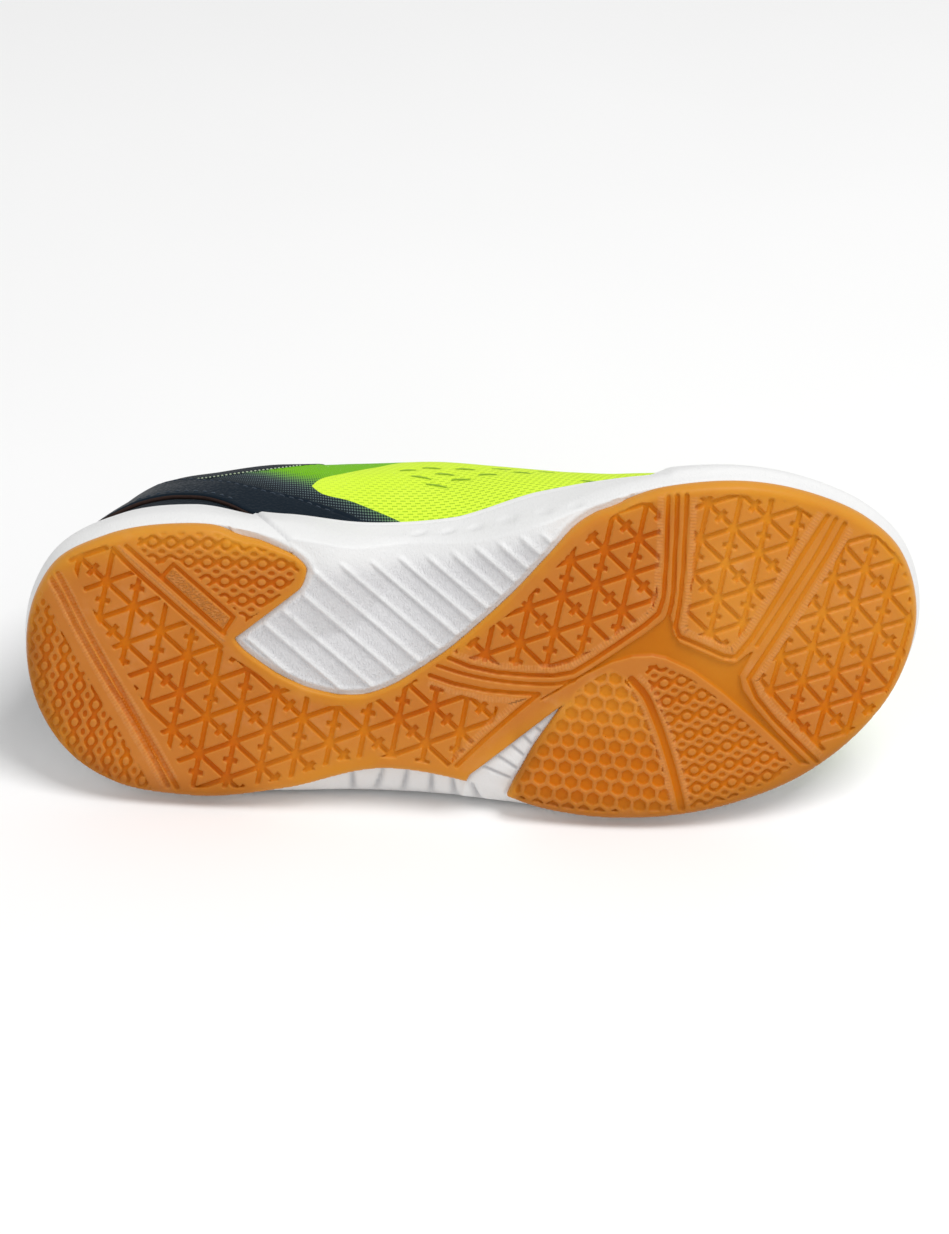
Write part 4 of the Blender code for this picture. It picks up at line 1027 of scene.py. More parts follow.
# ------------------------------------------------------------------- outsole
def make_outsole(h=0.375):
    edge = SOLE_EDGE
    gx = np.arange(edge[:, 0].min() - 1.0, edge[:, 0].max() + 1.0, h)
    gy = np.arange(edge[:, 1].min() - 1.0, edge[:, 1].max() + 1.0, h)
    shape = (len(gx), len(gy))
    p = np.stack(np.meshgrid(gx, gy, indexing="ij"), -1).reshape(-1, 2)

    def parts(q):
        return poly_sd(q, edge), poly_sd(q, ARCH), poly_sd(q, NOTCH)

    sd_edge, sd_arch, sd_notch = parts(p)
    sd = np.maximum(sd_edge, -sd_arch) + bend(sd_edge, sd_arch)
    sd = np.maximum(sd, -sd_notch).reshape(shape)
    mean = 0.25 * (sd[:-1, :-1] + sd[1:, :-1] + sd[1:, 1:] + sd[:-1, 1:])
    cell = mean < 0.0
    # a cell that hangs on by a corner is dropped
    for _ in range(3):
        near = np.zeros(cell.shape, int)
        near[1:] += cell[:-1]
        near[:-1] += cell[1:]
        near[:, 1:] += cell[:, :-1]
        near[:, :-1] += cell[:, 1:]
        cell &= near >= 2
    uses = np.zeros(shape, int)
    for dx in (0, 1):
        for dy in (0, 1):
            uses[dx:shape[0] - 1 + dx, dy:shape[1] - 1 + dy] += cell
    used, rim = (uses > 0).ravel(), ((uses > 0) & (uses < 4)).ravel()
    gxx, gyy = np.gradient(sd, h)
    g = np.stack((gxx.ravel(), gyy.ravel()), 1)
    g /= np.maximum(np.linalg.norm(g, axis=1), 0.4)[:, None]
    move = np.clip(sd.ravel(), -1.3 * h, 1.3 * h)
    p = np.where(rim[:, None], p - g * move[:, None], p)
    number = np.full(len(p), -1)
    number[used] = np.arange(used.sum())
    q = p[used]
    on_rim = rim[used]
    sd_edge, sd_arch, sd_notch = parts(q)
    deep, hatch, along, plain, label, painted_glow, painted_edge_shade = tread(
        seen(np.column_stack((q, ground(q[:, 0])))))
    back = bend(sd_edge, sd_arch)
    out = np.maximum(-sd_edge - back, 0.0)
    cut = np.maximum(np.minimum(sd_arch - back, sd_notch), 0.0)
    deep = deep * smooth((out - 0.5) / 1.2) * smooth((cut - 0.5) / 1.2)
    # the cut's edge starts as round as the outer edge and sharpens inwards
    r1 = EDGE_ROUND
    r2 = 0.8 + 1.4 * run_out(q[:, 0], q[:, 1])
    lift1 = r1 - np.sqrt(np.maximum(r1 ** 2 - np.maximum(r1 - out, 0) ** 2, 0))
    lift2 = r2 - np.sqrt(np.maximum(r2 ** 2 - np.maximum(r2 - cut, 0) ** 2, 0))
    # the two face sides never cross: the tread stops short of the top
    top = foam_under(q[:, 0], q[:, 1]) - GAP
    z = np.minimum(ground(q[:, 0]) + deep + np.maximum(lift1, lift2), top - 0.4)
    low = np.column_stack((q, z))
    ids = number.reshape(shape)
    ci, cj = np.nonzero(cell)
    quad = np.stack((ids[ci, cj], ids[ci + 1, cj], ids[ci + 1, cj + 1],
                     ids[ci, cj + 1]), 1)
    # cut each quad the way that bends less
    swap = np.abs(z[quad[:, 0]] - z[quad[:, 2]]) > \
        np.abs(z[quad[:, 1]] - z[quad[:, 3]])
    t1 = np.where(swap[:, None], quad[:, (0, 1, 3)], quad[:, (0, 1, 2)])
    t2 = np.where(swap[:, None], quad[:, (1, 2, 3)], quad[:, (0, 2, 3)])
    # ordered rim: each quad side used once
    sides = np.vstack([quad[:, (k, (k + 1) % 4)] for k in range(4)])
    ways = {(a, b) for a, b in map(tuple, sides)}
    nxt = {a: b for a, b in ways if (b, a) not in ways}
    ring, start = [], next(iter(sorted(nxt)))
    k = start
    while True:
        ring.append(k)
        k = nxt.pop(k)
        if k == start:
            break
    ring = np.array(ring)
    base = low[ring]
    upper = np.column_stack((base[:, :2], top[ring]))
    rows = [ring]
    pts = [low]
    count = len(low)
    for share in (0.35, 0.7, 1.0):
        row = base + (upper - base) * share
        if share == 1.0:
            row = upper
        pts.append(row)
        rows.append(np.arange(count, count + len(ring)))
        count += len(ring)
    walls = [grid_faces(np.stack((a, b)), closed_v=True)
             for a, b in zip(rows, rows[1:])]
    pts = np.vstack(pts)
    more = np.tile(ring, 3)
    fields = {"depth": np.concatenate((deep, np.zeros(len(more)))),
              "edge": np.concatenate((out, out[more] * 0.0)),
              "hatch": np.concatenate((hatch, np.zeros(len(more)))),
              "along": np.concatenate((along, np.zeros(len(more)))),
              "plain": np.concatenate((plain, np.zeros(len(more)))),
              "label": np.concatenate((label, np.zeros(len(more)))),
              "painted_glow": np.concatenate((painted_glow, painted_glow[more])),
              "painted_edge_shade": np.concatenate((painted_edge_shade, painted_edge_shade[more]))}
    # edge of the rubber at cut-outs isn't the thin outer edge
    fields["edge"] = np.concatenate(
        (np.minimum(out, cut * 1.6 + 0.6), np.zeros(len(more))))
    cap = rows[-1][None, ::-1]
    return put("outsole_tread", pts, [t1, t2] + walls + [cap], GUM,
               fields=fields, replaces=("outsole",),
               sharp=60.0)


make_outsole()

# -------------------------------------------------------------------- midsole
RIB_WAYS = (-322.0, -300.0, -278.0, -253.0, -228.5, -205.7, -184.0, -163.0,
            -144.0, -125.0, -106.0, -88.0, -69.0, -53.0)
NOTCH_LINES = (((537, 728), (541, 732)), ((523, 735), (531, 744)),
               ((511, 745), (523, 755)), ((498, 756), (516, 768)),
               ((485, 767), (510, 779)))
DENTS = ((419, 533, 16, 5), (448, 531, 16, 5), (476, 527, 16, 6),
         (508, 519, 19, 8), (545, 511, 17, 6), (576, 505, 14, 5))
HEEL_SEAM = ((257, 513), (266, 520), (277, 529), (288, 539), (296, 548),
             (302, 557))
RIB_TOPS = ((235, 575), (280, 568), (313, 562), (346, 560), (376, 557),
            (404, 553), (432, 552), (457, 548), (480, 542), (502, 538),
            (526, 532), (548, 530), (575, 522))


def foam_bottom(x, y):
    """Underside of the foam: flat under the rubber, ribbed in the arch."""
    q = np.stack((x, y), 1)
    z = foam_under(x, y)
    arch = -poly_sd(q, ARCH)
    arch = arch + bend(poly_sd(q, SOLE_EDGE), -arch)
    notch = -poly_sd(q, NOTCH)
    shade_line = np.zeros(len(x))
    under = np.zeros(len(x))
    m = arch > 0.0
    flush = ground(x) + 1.4 + (OUTSOLE_THICK - 1.9) * run_out(x, y)
    sink = flush + (z - flush) * smooth((arch - 3.0) / 22.0)
    px = seen(np.column_stack((q, np.where(arch > -1.0, sink, ground(x) + 1.6))))
    a = math.radians(40.5)
    off = px[:, 0] * math.sin(a) - px[:, 1] * math.cos(a)
    away = np.full(len(x), 1e9)
    for c in RIB_WAYS:
        away = np.minimum(away, np.abs(off - 1.004 * c))
    ribs = 1.0 - smooth((away - 0.6) / 2.8)
    tops = np.array(RIB_TOPS, float)
    start = np.interp(px[:, 0], tops[:, 0], tops[:, 1])
    ribs *= smooth((px[:, 1] - start) / 9.0) * smooth((arch - 1.0) / 1.2)
    lip = np.exp(-((arch - 1.6) / 0.6) ** 2)
    shaped = sink - 0.85 * ribs - 0.35 * lip
    near = arch > -1.0
    z = np.where(near, z + (shaped - z) * smooth((arch + 0.75) / 0.6), z)
    # painted shade along the gap where the foam meets the rubber's edge
    shade_line = np.where(m, 0.5 * np.exp(-((arch - 0.5) / 0.45) ** 2)
                    * (1.0 - run_out(x, y)), shade_line)
    # painted shade on the arch's underside, which faces away from the light
    under = np.where(m, smooth(arch / 2.0) * smooth((px[:, 1] - start + 6) / 34)
                     * (1.0 - 0.7 * ribs), under)
    m = notch > 0.0
    flush = ground(x) + 1.6 + (OUTSOLE_THICK - 2.1) * run_out(x, y)
    cut = np.full(len(x), 1e9)
    for a0, b0 in NOTCH_LINES:
        cut = np.minimum(cut, line_dist(px, (a0, b0))[0])
    fine = 1.0 - smooth((cut - 0.5) / 2.2)
    shaped = flush + 0.35 * fine
    near = notch > -1.0
    z = np.where(near, z + (shaped - z) * smooth((notch + 0.75) / 0.6), z)
    # painted shade in the notch's fine cuts and along its edge
    shade_line = np.where(m, np.maximum(0.8 * fine,
                                  0.5 * np.exp(-((notch - 0.5) / 0.4) ** 2)),
                    shade_line)
    # a little painted shade over the whole notch
    under = np.where(m, 0.15, under)
    return z, shade_line, under


def foam_side(tau, share, edge, n, base, crown):
    low = foam_under(base[:, 0], base[:, 1])
    reach = np.sum((crown[:, :2] - edge) * n, 1)
    drift = crown[:, :2] - edge - n * reach[:, None]
    tuck = np.sum((edge - base) * n, 1)
    if share < BELLY:
        turned = math.sin(0.5 * math.pi * share / BELLY)
        off = -tuck + (tuck + SOLE_BULGE) * turned
    else:
        turned = (share - BELLY) / (1.0 - BELLY)
        off = SOLE_BULGE + (reach - SOLE_BULGE) * turned ** 1.3
    out = np.zeros((len(edge), 3))
    out[:, :2] = edge + n * off[:, None] + drift * share
    out[:, 2] = low + (crown[:, 2] - low) * share
    return out


def rim_shift(tau):
    """The foam's rim as seen: a little higher round the heel's inner side."""
    rows, sides = row_of(tau)
    cup = -0.020 * smooth((rows - 3.8) / 0.7) * (rows < 4.68)
    cup = cup - 0.022 * np.exp(-((rows - 4.66) / 0.32) ** 2) - 0.006 * smooth(
        (rows - 3.5) / 0.5) * smooth((5.6 - rows) / 0.5)
    return cup + 0.012 * smooth((4.0 - rows) / 1.2) + 0.034 * smooth(
        (3.0 - rows) / 1.2) - 0.012 * smooth((rows - 9.6) / 1.2)


def make_midsole():
    tau = places(1.1, 0.5)
    rows, sides = row_of(tau)
    level = rim_level(tau) + rim_shift(tau)
    edge, n = outline(tau)
    base, _ = sole_base(tau)
    count = len(tau)
    lip = skin(tau, level) + skin_normal(tau, level) * (GAP + 0.1)
    crown = lip.copy()
    crown[:, :2] += n * RIM_WALL
    rings, lines, unders = [], [], []

    def ring(p, shade_line=None, under=None):
        rings.append(p)
        lines.append(np.zeros(count) if shade_line is None else shade_line)
        unders.append(np.zeros(count) if under is None else under)

    floor = skin(tau, 0.0) + skin_normal(tau, 0.0) * (GAP + 0.1)
    floor[:, 2] = bed(floor[:, 0]) - GAP
    ring(floor)
    for s in (0.08, 0.4, 0.75):
        ring(skin(tau, level * s) + skin_normal(tau, level * s) * (GAP + 0.1))
    # soft rounded rim
    ring(lip - np.array((0.0, 0.0, 0.7)))
    for a in (20, 55, 90, 125, 160):
        c = math.radians(a)
        p = lip.copy()
        p[:, :2] += n * (0.5 * RIM_WALL * (1.0 - math.cos(c)))
        p[:, 2] += 0.55 * math.sin(c) - 0.35
        ring(p)
    z0, line0, under0 = foam_bottom(base[:, 0], base[:, 1])
    gain = z0 - foam_under(base[:, 0], base[:, 1])
    shares = 1.0 - np.linspace(0.0, 1.0, 27)[1:-1] ** 1.15
    for s in np.append(shares, 0.0):
        p = foam_side(tau, s, edge, n, base, crown)
        p[:, 2] += gain * smooth(1.0 - s / 0.35)
        px = seen(p)
        dip = np.zeros(count)
        shade_line = np.zeros(count)
        med = sides > 0
        # soft dents along the inner wall, with painted shade along one edge of each
        for cx, cy, w, h in DENTS:
            tilt = math.radians(-13.0)
            dx, dy = px[:, 0] - cx, px[:, 1] - cy
            a = (dx * math.cos(tilt) + dy * math.sin(tilt)) / (0.5 * w)
            b = (-dx * math.sin(tilt) + dy * math.cos(tilt)) / (0.5 * h)
            dip += np.where(med, 0.36 * np.exp(-(a * a + b * b) ** 2), 0.0)
            shade_line += np.where(med, 0.10 * np.exp(-(a * a + (b - 0.5) ** 2) ** 2),
                             0.0)
        # the heel's cup ends in a soft step on the inner wall, darkened along its line with painted shade
        d, _, side = line_dist(px, HEEL_SEAM)
        step = np.where(side < 0, 0.55 * smooth((60.0 - d) / 45.0)
                        * smooth(d / 2.0), 0.0)
        dip -= np.where(med, step * smooth((d + 1.0) / 2.0), 0.0)
        dip += np.where(med, 0.35 * smooth((2.4 - d) / 2.4), 0.0)
        shade_line += np.where(med, 0.42 * smooth((1.8 - d) / 1.8), 0.0)
        # pads of the outer waist, split by leaning grooves, with painted shade in the grooves and along the
        # line where the pads end
        x = p[:, 0]
        far = np.full(count, 1e9)
        for low_x, high_x in ((78.1, 78.1), (86.0, 83.0), (91.8, 90.0),
                              (97.6, 97.2), (102.4, 103.4), (107.0, 109.8)):
            at = low_x + (high_x - low_x) * min(s / 0.24, 1.0)
            far = np.minimum(far, np.abs(x - at))
        on = (sides < 0) & (x > 70) & (x < 116)
        foot = smooth((x - 70.0) / 6.0) * smooth((116.0 - x) / 6.0) \
            * smooth(s / 0.06)
        fade = foot * smooth((0.22 - s) / 0.08)
        cutin = np.exp(-(far / 0.75) ** 2)
        dip += np.where(on, fade * (1.0 * cutin - 0.5 * smooth(far / 2.2)), 0.0)
        shade_line += np.where(on, fade * np.exp(-(far / 0.7) ** 2), 0.0)
        shade_line += np.where(on, 0.34 * foot * np.exp(-((s - 0.21) / 0.04) ** 2),
                         0.0)
        # toe bumper stands proud and carries fine lines, darkened with painted shade
        toe = smooth((x - 153.5) / 3.0)
        dip -= 0.45 * toe * smooth((0.98 - s) / 0.06) * smooth((s - 0.12) / 0.1)
        for at in (0.44, 0.60, 0.76):
            dip += 0.28 * toe * np.exp(-((s - at) / 0.02) ** 2)
            shade_line += 0.22 * toe * np.exp(-((s - at) / 0.02) ** 2)
        # a shallow line follows the rim at the sides and round the heel
        dip += 0.22 * (1.0 - toe) * np.exp(-((s - 0.86) / 0.025) ** 2)
        slope = np.zeros((count, 3))
        slope[:, :2] = n
        p = p - slope * dip[:, None]
        # the painted shade of the underside runs up the lowest part of the wall
        low = smooth(1.0 - s / 0.25)
        ring(p, np.clip(shade_line + line0 * (s == 0.0), 0, 1), under0 * low)
    ids = np.arange(len(rings) * count).reshape(len(rings), count)
    pts = [np.vstack(rings)]
    shade_line, under = [np.concatenate(lines)], [np.concatenate(unders)]
    faces = [grid_faces(ids, closed_v=True)]
    total = ids.size
    half = count // 2

    def span(ring_ids, ring_pts, shares, height):
        nonlocal total
        rows_ids = []
        for i in range(1, half):
            a, b = ring_pts[i], ring_pts[count - i]
            p = a[None] + (b - a)[None] * shares[:, None]
            rows_ids.append(p)
        block = np.array(rows_ids)
        flat = block.reshape(-1, 3)
        z, ln, un = height(flat[:, 0], flat[:, 1])
        flat[:, 2] = z
        mine = np.arange(total, total + len(flat)).reshape(block.shape[:2])
        total += len(flat)
        pts.append(flat)
        shade_line.append(ln)
        under.append(un)
        left = ring_ids[1:half][:, None]
        right = ring_ids[count - 1:half:-1][:, None]
        net = np.hstack((left, mine, right))
        faces.append(grid_faces(net))
        for tip, row in ((ring_ids[0], net[0]), (ring_ids[half], net[-1])):
            faces.append(np.stack((np.full(len(row) - 1, tip), row[:-1],
                                   row[1:]), 1))

    span(ids[0], rings[0], np.linspace(0.0, 1.0, 9)[1:-1],
         lambda x, y: (bed(x) - GAP, 0 * x, 0 * x))
    span(ids[-1], rings[-1], np.linspace(0.0, 1.0, 165)[1:-1], foam_bottom)
    return put("midsole_foam", np.vstack(pts), faces, FOAM,
               fields={"shade_line": np.clip(np.concatenate(shade_line), 0, 1),
                       "under": np.clip(np.concatenate(under), 0, 1)},
               replaces=("midsole",), sharp=85.0)


make_midsole()

# ---------------------------------------------------------------------- upper
# Print and panels by section (counted from the heel) and share of the way
# from the foam rim to the top edge, the same on both sides.
LEAF_LOW = ((5.31, 0.42), (5.41, 0.325), (5.71, 0.239), (6.0, 0.137),
            (6.15, 0.093), (6.31, 0.04), (6.5, -0.08))
LEAF_HIGH = ((5.31, 0.42), (5.45, 0.523), (5.69, 0.568), (5.95, 0.593),
             (6.36, 0.623), (6.9, 0.69), (7.4, 0.80), (7.8, 1.05))
COLLAR_LOW = ((0.0, 0.80), (2.0, 0.80), (3.5, 0.793), (4.31, 0.770),
              (5.04, 0.820), (5.3, 0.860), (5.6, 0.93), (5.9, 1.04))
SLITS = (((6.86, 0.502), (7.10, 0.456)), ((6.51, 0.506), (6.74, 0.482)),
         ((6.60, 0.423), (6.84, 0.360)), ((6.95, 0.409), (7.20, 0.361)),
         ((7.10, 0.324), (7.36, 0.293)), ((6.73, 0.326), (6.99, 0.268)),
         ((7.51, 0.328), (7.75, 0.302)), ((8.88, 0.141), (9.15, 0.090)),
         ((7.30, 0.430), (7.55, 0.395)), ((7.80, 0.400), (8.05, 0.370)),
         ((8.00, 0.320), (8.25, 0.285)), ((8.30, 0.430), (8.55, 0.400)),
         ((8.45, 0.330), (8.70, 0.300)), ((8.80, 0.400), (9.05, 0.370)))
STAY = ((6.0, 1.03), (6.4, 0.955), (6.9, 0.845), (7.4, 0.77), (9.0, 0.74),
        (10.5, 0.74), (11.6, 0.77), (12.6, 0.82), (13.6, 0.87), (16.0, 0.90))


def flatten(row, share):
    """Section and share as millimetres on the laid-out quarter."""
    x = np.interp(row, np.arange(ROWS + 2),
                  [HEEL_TIP["x"]] + [r[0] for r in SOLE_ROWS] + [TOE_TIP["x"]])
    return np.stack((x, np.asarray(share) * 48.0), -1)


def upper_fields(row, share):
    p = flatten(row, share)
    low = flatten(*np.array(LEAF_LOW).T)
    high = flatten(*np.array(LEAF_HIGH).T)
    tip = np.vstack((curve_through(low[::-1], 40), curve_through(high, 40)[1:]))
    leaf_poly = np.vstack((tip, ((240, 60), (240, -40), (tip[0][0], -40))))
    leaf = poly_sd(p, leaf_poly)
    collar = curve_through(flatten(*np.array(COLLAR_LOW).T), 60)
    d, _, _ = line_dist(p, collar)
    top = np.interp(p[:, 0], collar[:, 0], collar[:, 1], right=99.0)
    strip = np.where(p[:, 1] > top, -d, d)
    stay_line = flatten(*np.array(STAY).T)
    d, _, _ = line_dist(p, stay_line)
    edge = np.interp(p[:, 0], stay_line[:, 0], stay_line[:, 1], left=99.0)
    stay = np.where(p[:, 1] > edge, -d, d)
    dark = np.minimum(strip, stay)
    # the fade runs up and forward from the heel overlay
    fade = np.clip(-0.20 + (p[:, 0] - 44.0) * 0.030
                   + (p[:, 1] - 22.0) * 0.033, 0.0, 1.0)
    slit = np.zeros(len(p))
    for a, b in SLITS:
        ends = flatten(*np.array((a, b)).T)
        d = line_dist(p, ends)[0]
        slit = np.maximum(slit, 1.0 - smooth(d / 1.1))
    openness = smooth((p[:, 0] - 60.0) / 30.0) * 0.75 * (
        0.35 + 0.65 * smooth((0.5 - share) / 0.3))
    return leaf, dark, fade, slit, openness, stay


def puff_at(tau, share):
    """Padding of the collar, and the inner side's dip before the throat."""
    pad = np.clip(loop(tau)[:, 11], 0.0, 1.0)
    rows, sides = row_of(tau)
    dip = 0.9 * np.exp(-((rows - 5.8) / 0.8) ** 2) * smooth(
        (share - 0.45) / 0.3) * (sides > 0)
    return 0.3 * pad * np.sin(math.pi * np.clip((share - 0.62) / 0.38,
                                                0, 1)) ** 0.8 - dip


def slack_at(x, share):
    """A faint slackness of the knit over the side of the waist."""
    return 0.25 * np.sin(x / 7.5 + 2.5 * share) * np.exp(
        -((x - 105.0) / 26.0) ** 2) * smooth((share - 0.25) / 0.2) \
        * smooth((0.75 - share) / 0.2)


def make_upper():
    tau = places(0.85)
    rows, sides = row_of(tau)
    rim = rim_level(tau)
    count = len(tau)
    levels = np.concatenate((np.linspace(0.0, 0.12, 4, endpoint=False),
                             np.linspace(0.12, 0.985, 84)))
    outer, inner, uv_o, uv_i = [], [], [], []
    coarse = set(range(len(levels) - 1, -1, -4)) | {0}
    run = np.zeros(count)
    last = None
    mid = skin(tau, 0.4)
    gone = np.concatenate(([0.0], np.cumsum(np.linalg.norm(
        np.diff(mid, axis=0), axis=1))))
    keys = ("leaf", "dark", "fade", "slit", "open", "sew")
    fo = {k: [] for k in keys}
    for number, v in enumerate(levels):
        p, nrm = skin(tau, v), skin_normal(tau, v)
        share = (v - rim) / (1.0 - rim)
        leaf, dark, fade, slit, opened, stay = upper_fields(rows, share)
        if last is not None:
            run = run + np.linalg.norm(p - last, axis=1)
        last = p
        lift = puff_at(tau, share) - 0.30 * slit
        # overlays stand a little proud of the knit
        lift = lift + 0.35 * smooth((0.25 - dark) / 0.5) * (share < 0.99)
        # soft flex creases across the vamp, behind the toes
        x = p[:, 0]
        for at, deep, wide in ((139.0, 0.55, 3.2), (147.0, 0.45, 3.0),
                               (131.0, 0.30, 3.2)):
            bend = at + 6.0 * (share - 0.6) ** 2 * 4.0
            lift = lift - deep * np.exp(-((x - bend) / wide) ** 2) * smooth(
                (share - 0.30) / 0.25) * smooth((0.95 - share) / 0.1)
        lift = lift + slack_at(x, share)
        outer.append(p + nrm * lift[:, None])
        if number in coarse:
            inner.append(p - nrm * wall(tau, v)[:, None])
            uv_i.append(np.stack((gone, run), 1))
        uv_o.append(np.stack((gone, run), 1))
        for k, f in zip(keys, (leaf, dark, fade, slit, opened,
                               np.zeros(count))):
            fo[k].append(f)
    # rolled top edge between the outer and the inner face
    roll, uv_r = [], []
    nrm = skin_normal(tau, 1.0)
    up = skin(tau, 1.0) - skin(tau, 0.985)
    up /= np.linalg.norm(up, axis=1)[:, None]
    a, b = outer[-1], inner[-1]
    for t in np.linspace(0.0, math.pi, 9)[1:-1]:
        c = 0.5 * (a + b) + 0.5 * (a - b) * math.cos(t)
        size = 0.5 * np.linalg.norm(a - b, axis=1)
        roll.append(c + up * (size * 0.42 * math.sin(t))[:, None])
        uv_r.append(np.stack((gone, run + 1.0 + t), 1))
    pts = np.vstack(outer + roll + inner[::-1])
    n_out, n_roll, n_in = len(outer), len(roll), len(inner)
    ids = np.arange((n_out + n_roll + n_in) * count).reshape(-1, count)
    skin_faces = grid_faces(ids[:n_out], closed_v=True)
    roll_faces = grid_faces(ids[n_out - 1:n_out + n_roll // 2 + 1],
                            closed_v=True)
    lining_faces = np.vstack((grid_faces(ids[n_out + n_roll // 2:],
                                         closed_v=True),
                              grid_faces(np.stack((ids[-1], ids[0])),
                                         closed_v=True)))
    fields = {}
    fill = {"leaf": 9.0, "dark": -9.0, "fade": 0.0, "slit": 0.0, "open": 0.0,
            "sew": 0.0}
    rest = n_in * count
    for k in keys:
        # the rolled edge keeps the colours of the face below it
        roll_k = [fo[k][-1]] * n_roll
        fields[k] = np.concatenate(fo[k] + roll_k
                                   + [np.full(rest, fill[k])])
    return put("upper_knit", pts, [skin_faces, roll_faces, lining_faces],
               [LIME, LINING],
               index=[np.zeros(len(skin_faces)), np.zeros(len(roll_faces)),
                      np.ones(len(lining_faces))],
               uv=np.vstack(uv_o + uv_r + uv_i[::-1]), fields=fields,
               replaces=("upper",), sharp=60.0)


make_upper()


# ------------------------------------------------ overlays, stitches, piping
def on_upper(row, share, side, lift=0.0):
    """Points on the upper by section and share, with the surface normal."""
    tau = np.array([float(at_row(r, side)) for r in np.atleast_1d(row)])
    rim = rim_level(tau)
    v = rim + (1.0 - rim) * np.atleast_1d(share)
    n = skin_normal(tau, v)
    return skin(tau, v) + n * lift, n


COUNTER_LOW = ((0.0, 0.10), (1.6, 0.12), (2.4, 0.20), (3.0, 0.27),
               (3.53, 0.280), (3.96, 0.214), (4.23, 0.140), (4.49, 0.057),
               (4.66, -0.012), (5.0, -0.04), (5.95, -0.02))
COUNTER_HIGH = ((0.0, 0.80), (2.0, 0.79), (3.0, 0.775), (3.55, 0.735),
                (3.95, 0.585), (4.24, 0.498), (4.53, 0.394), (4.76, 0.336),
                (5.0, 0.284), (5.2, 0.236), (5.41, 0.168), (5.59, 0.135),
                (5.78, 0.072), (5.95, 0.02))


def make_counter():
    """Heel overlay: a smooth skin with rounded edges over both sides."""
    n_along = 260
    rows = np.linspace(-5.95, 5.95, n_along)
    side_tau = np.array([float(at_row(abs(r), "med" if r >= 0 else "lat"))
                         for r in rows])
    low = np.interp(np.abs(rows), *np.array(COUNTER_LOW).T)
    high = np.interp(np.abs(rows), *np.array(COUNTER_HIGH).T)
    k = np.ones(7) / 7.0
    low = np.convolve(np.pad(low, 3, mode="edge"), k, mode="valid")
    high = np.convolve(np.pad(high, 3, mode="edge"), k, mode="valid")
    high = np.maximum(high, low + 0.012)
    rim = rim_level(side_tau)
    rings = []
    steps = np.concatenate(([0.0, 0.004, 0.012, 0.025],
                            np.linspace(0.05, 0.95, 22),
                            [0.975, 0.988, 0.996, 1.0]))
    for s in steps:
        share = low + (high - low) * s
        v = rim + (1.0 - rim) * share
        p, n = skin(side_tau, v), skin_normal(side_tau, v)
        width = (high - low) * 48.0
        inset = np.minimum(s, 1.0 - s) * width
        round_off = np.sqrt(np.clip(1.0 - (1.0 - np.clip(inset / 0.8, 0, 1)) ** 2,
                                    0, 1))
        tip = smooth((5.95 - np.abs(rows)) / 0.25)
        thick = 0.28 + (0.25 + 0.75 * tip) * (COUNTER_THICK - 0.4 * smooth(
            (3.2 - np.abs(rows)) / 1.2)) * (0.2 + 0.8 * round_off)
        groove = 0.28 * np.exp(-((inset - 2.0) / 0.45) ** 2) * (s > 0.5)
        lift = thick + puff_at(side_tau, share) - groove
        rings.append(p + n * lift[:, None])
    under = []
    for s in steps[::-1]:
        share = low + (high - low) * s
        v = rim + (1.0 - rim) * share
        p, n = skin(side_tau, v), skin_normal(side_tau, v)
        lift = 0.05 + puff_at(side_tau, share)
        under.append(p + n * lift[:, None])
    allr = np.array(rings + under)
    ids = np.arange(allr.shape[0] * n_along).reshape(allr.shape[:2])
    faces = [grid_faces(ids, closed_u=True)]
    caps = [ids[:, 0][None], ids[::-1, -1][None]]
    put("heel_overlay", allr.reshape(-1, 3), faces + caps, NAVY,
        replaces=("heel_counter",), sharp=60.0)


make_counter()


def tube(path, normals, wide, high, sides=8, closed=False):
    """A rope of oval section along a path."""
    path = np.asarray(path, float)
    t = np.gradient(path, axis=0)
    t /= np.linalg.norm(t, axis=1)[:, None]
    n = np.asarray(normals, float)
    n = n - np.sum(n * t, 1)[:, None] * t
    n /= np.linalg.norm(n, axis=1)[:, None]
    b = np.cross(t, n)
    a = np.linspace(0, 2 * math.pi, sides, endpoint=False)
    ring = path[:, None] + np.cos(a)[None, :, None] * b[:, None] * wide \
        + np.sin(a)[None, :, None] * n[:, None] * high
    ids = np.arange(len(path) * sides).reshape(len(path), sides)
    faces = grid_faces(ids, closed_v=True)
    return ring.reshape(-1, 3), faces, ids


def counter_edge():
    """Raw edge of the heel overlay: a thin dark brown rope along its foot."""
    rows = np.linspace(-4.72, 4.72, 240)
    low = np.interp(np.abs(rows), *np.array(COUNTER_LOW).T)
    k = np.ones(7) / 7.0
    low = np.convolve(np.pad(low, 3, mode="edge"), k, mode="valid")
    tau = np.array([float(at_row(abs(r), "med" if r >= 0 else "lat"))
                    for r in rows])
    rim = rim_level(tau)
    v = rim + (1.0 - rim) * (low - 0.006)
    n = skin_normal(tau, v)
    p = skin(tau, v) + n * 0.55
    pts, faces, ids = tube(p, n, 0.34, 0.50, 8)
    caps = [ids[0][None, ::-1], ids[-1][None]]
    put("heel_overlay_raw_edge", pts, [faces] + caps, EDGE)


counter_edge()


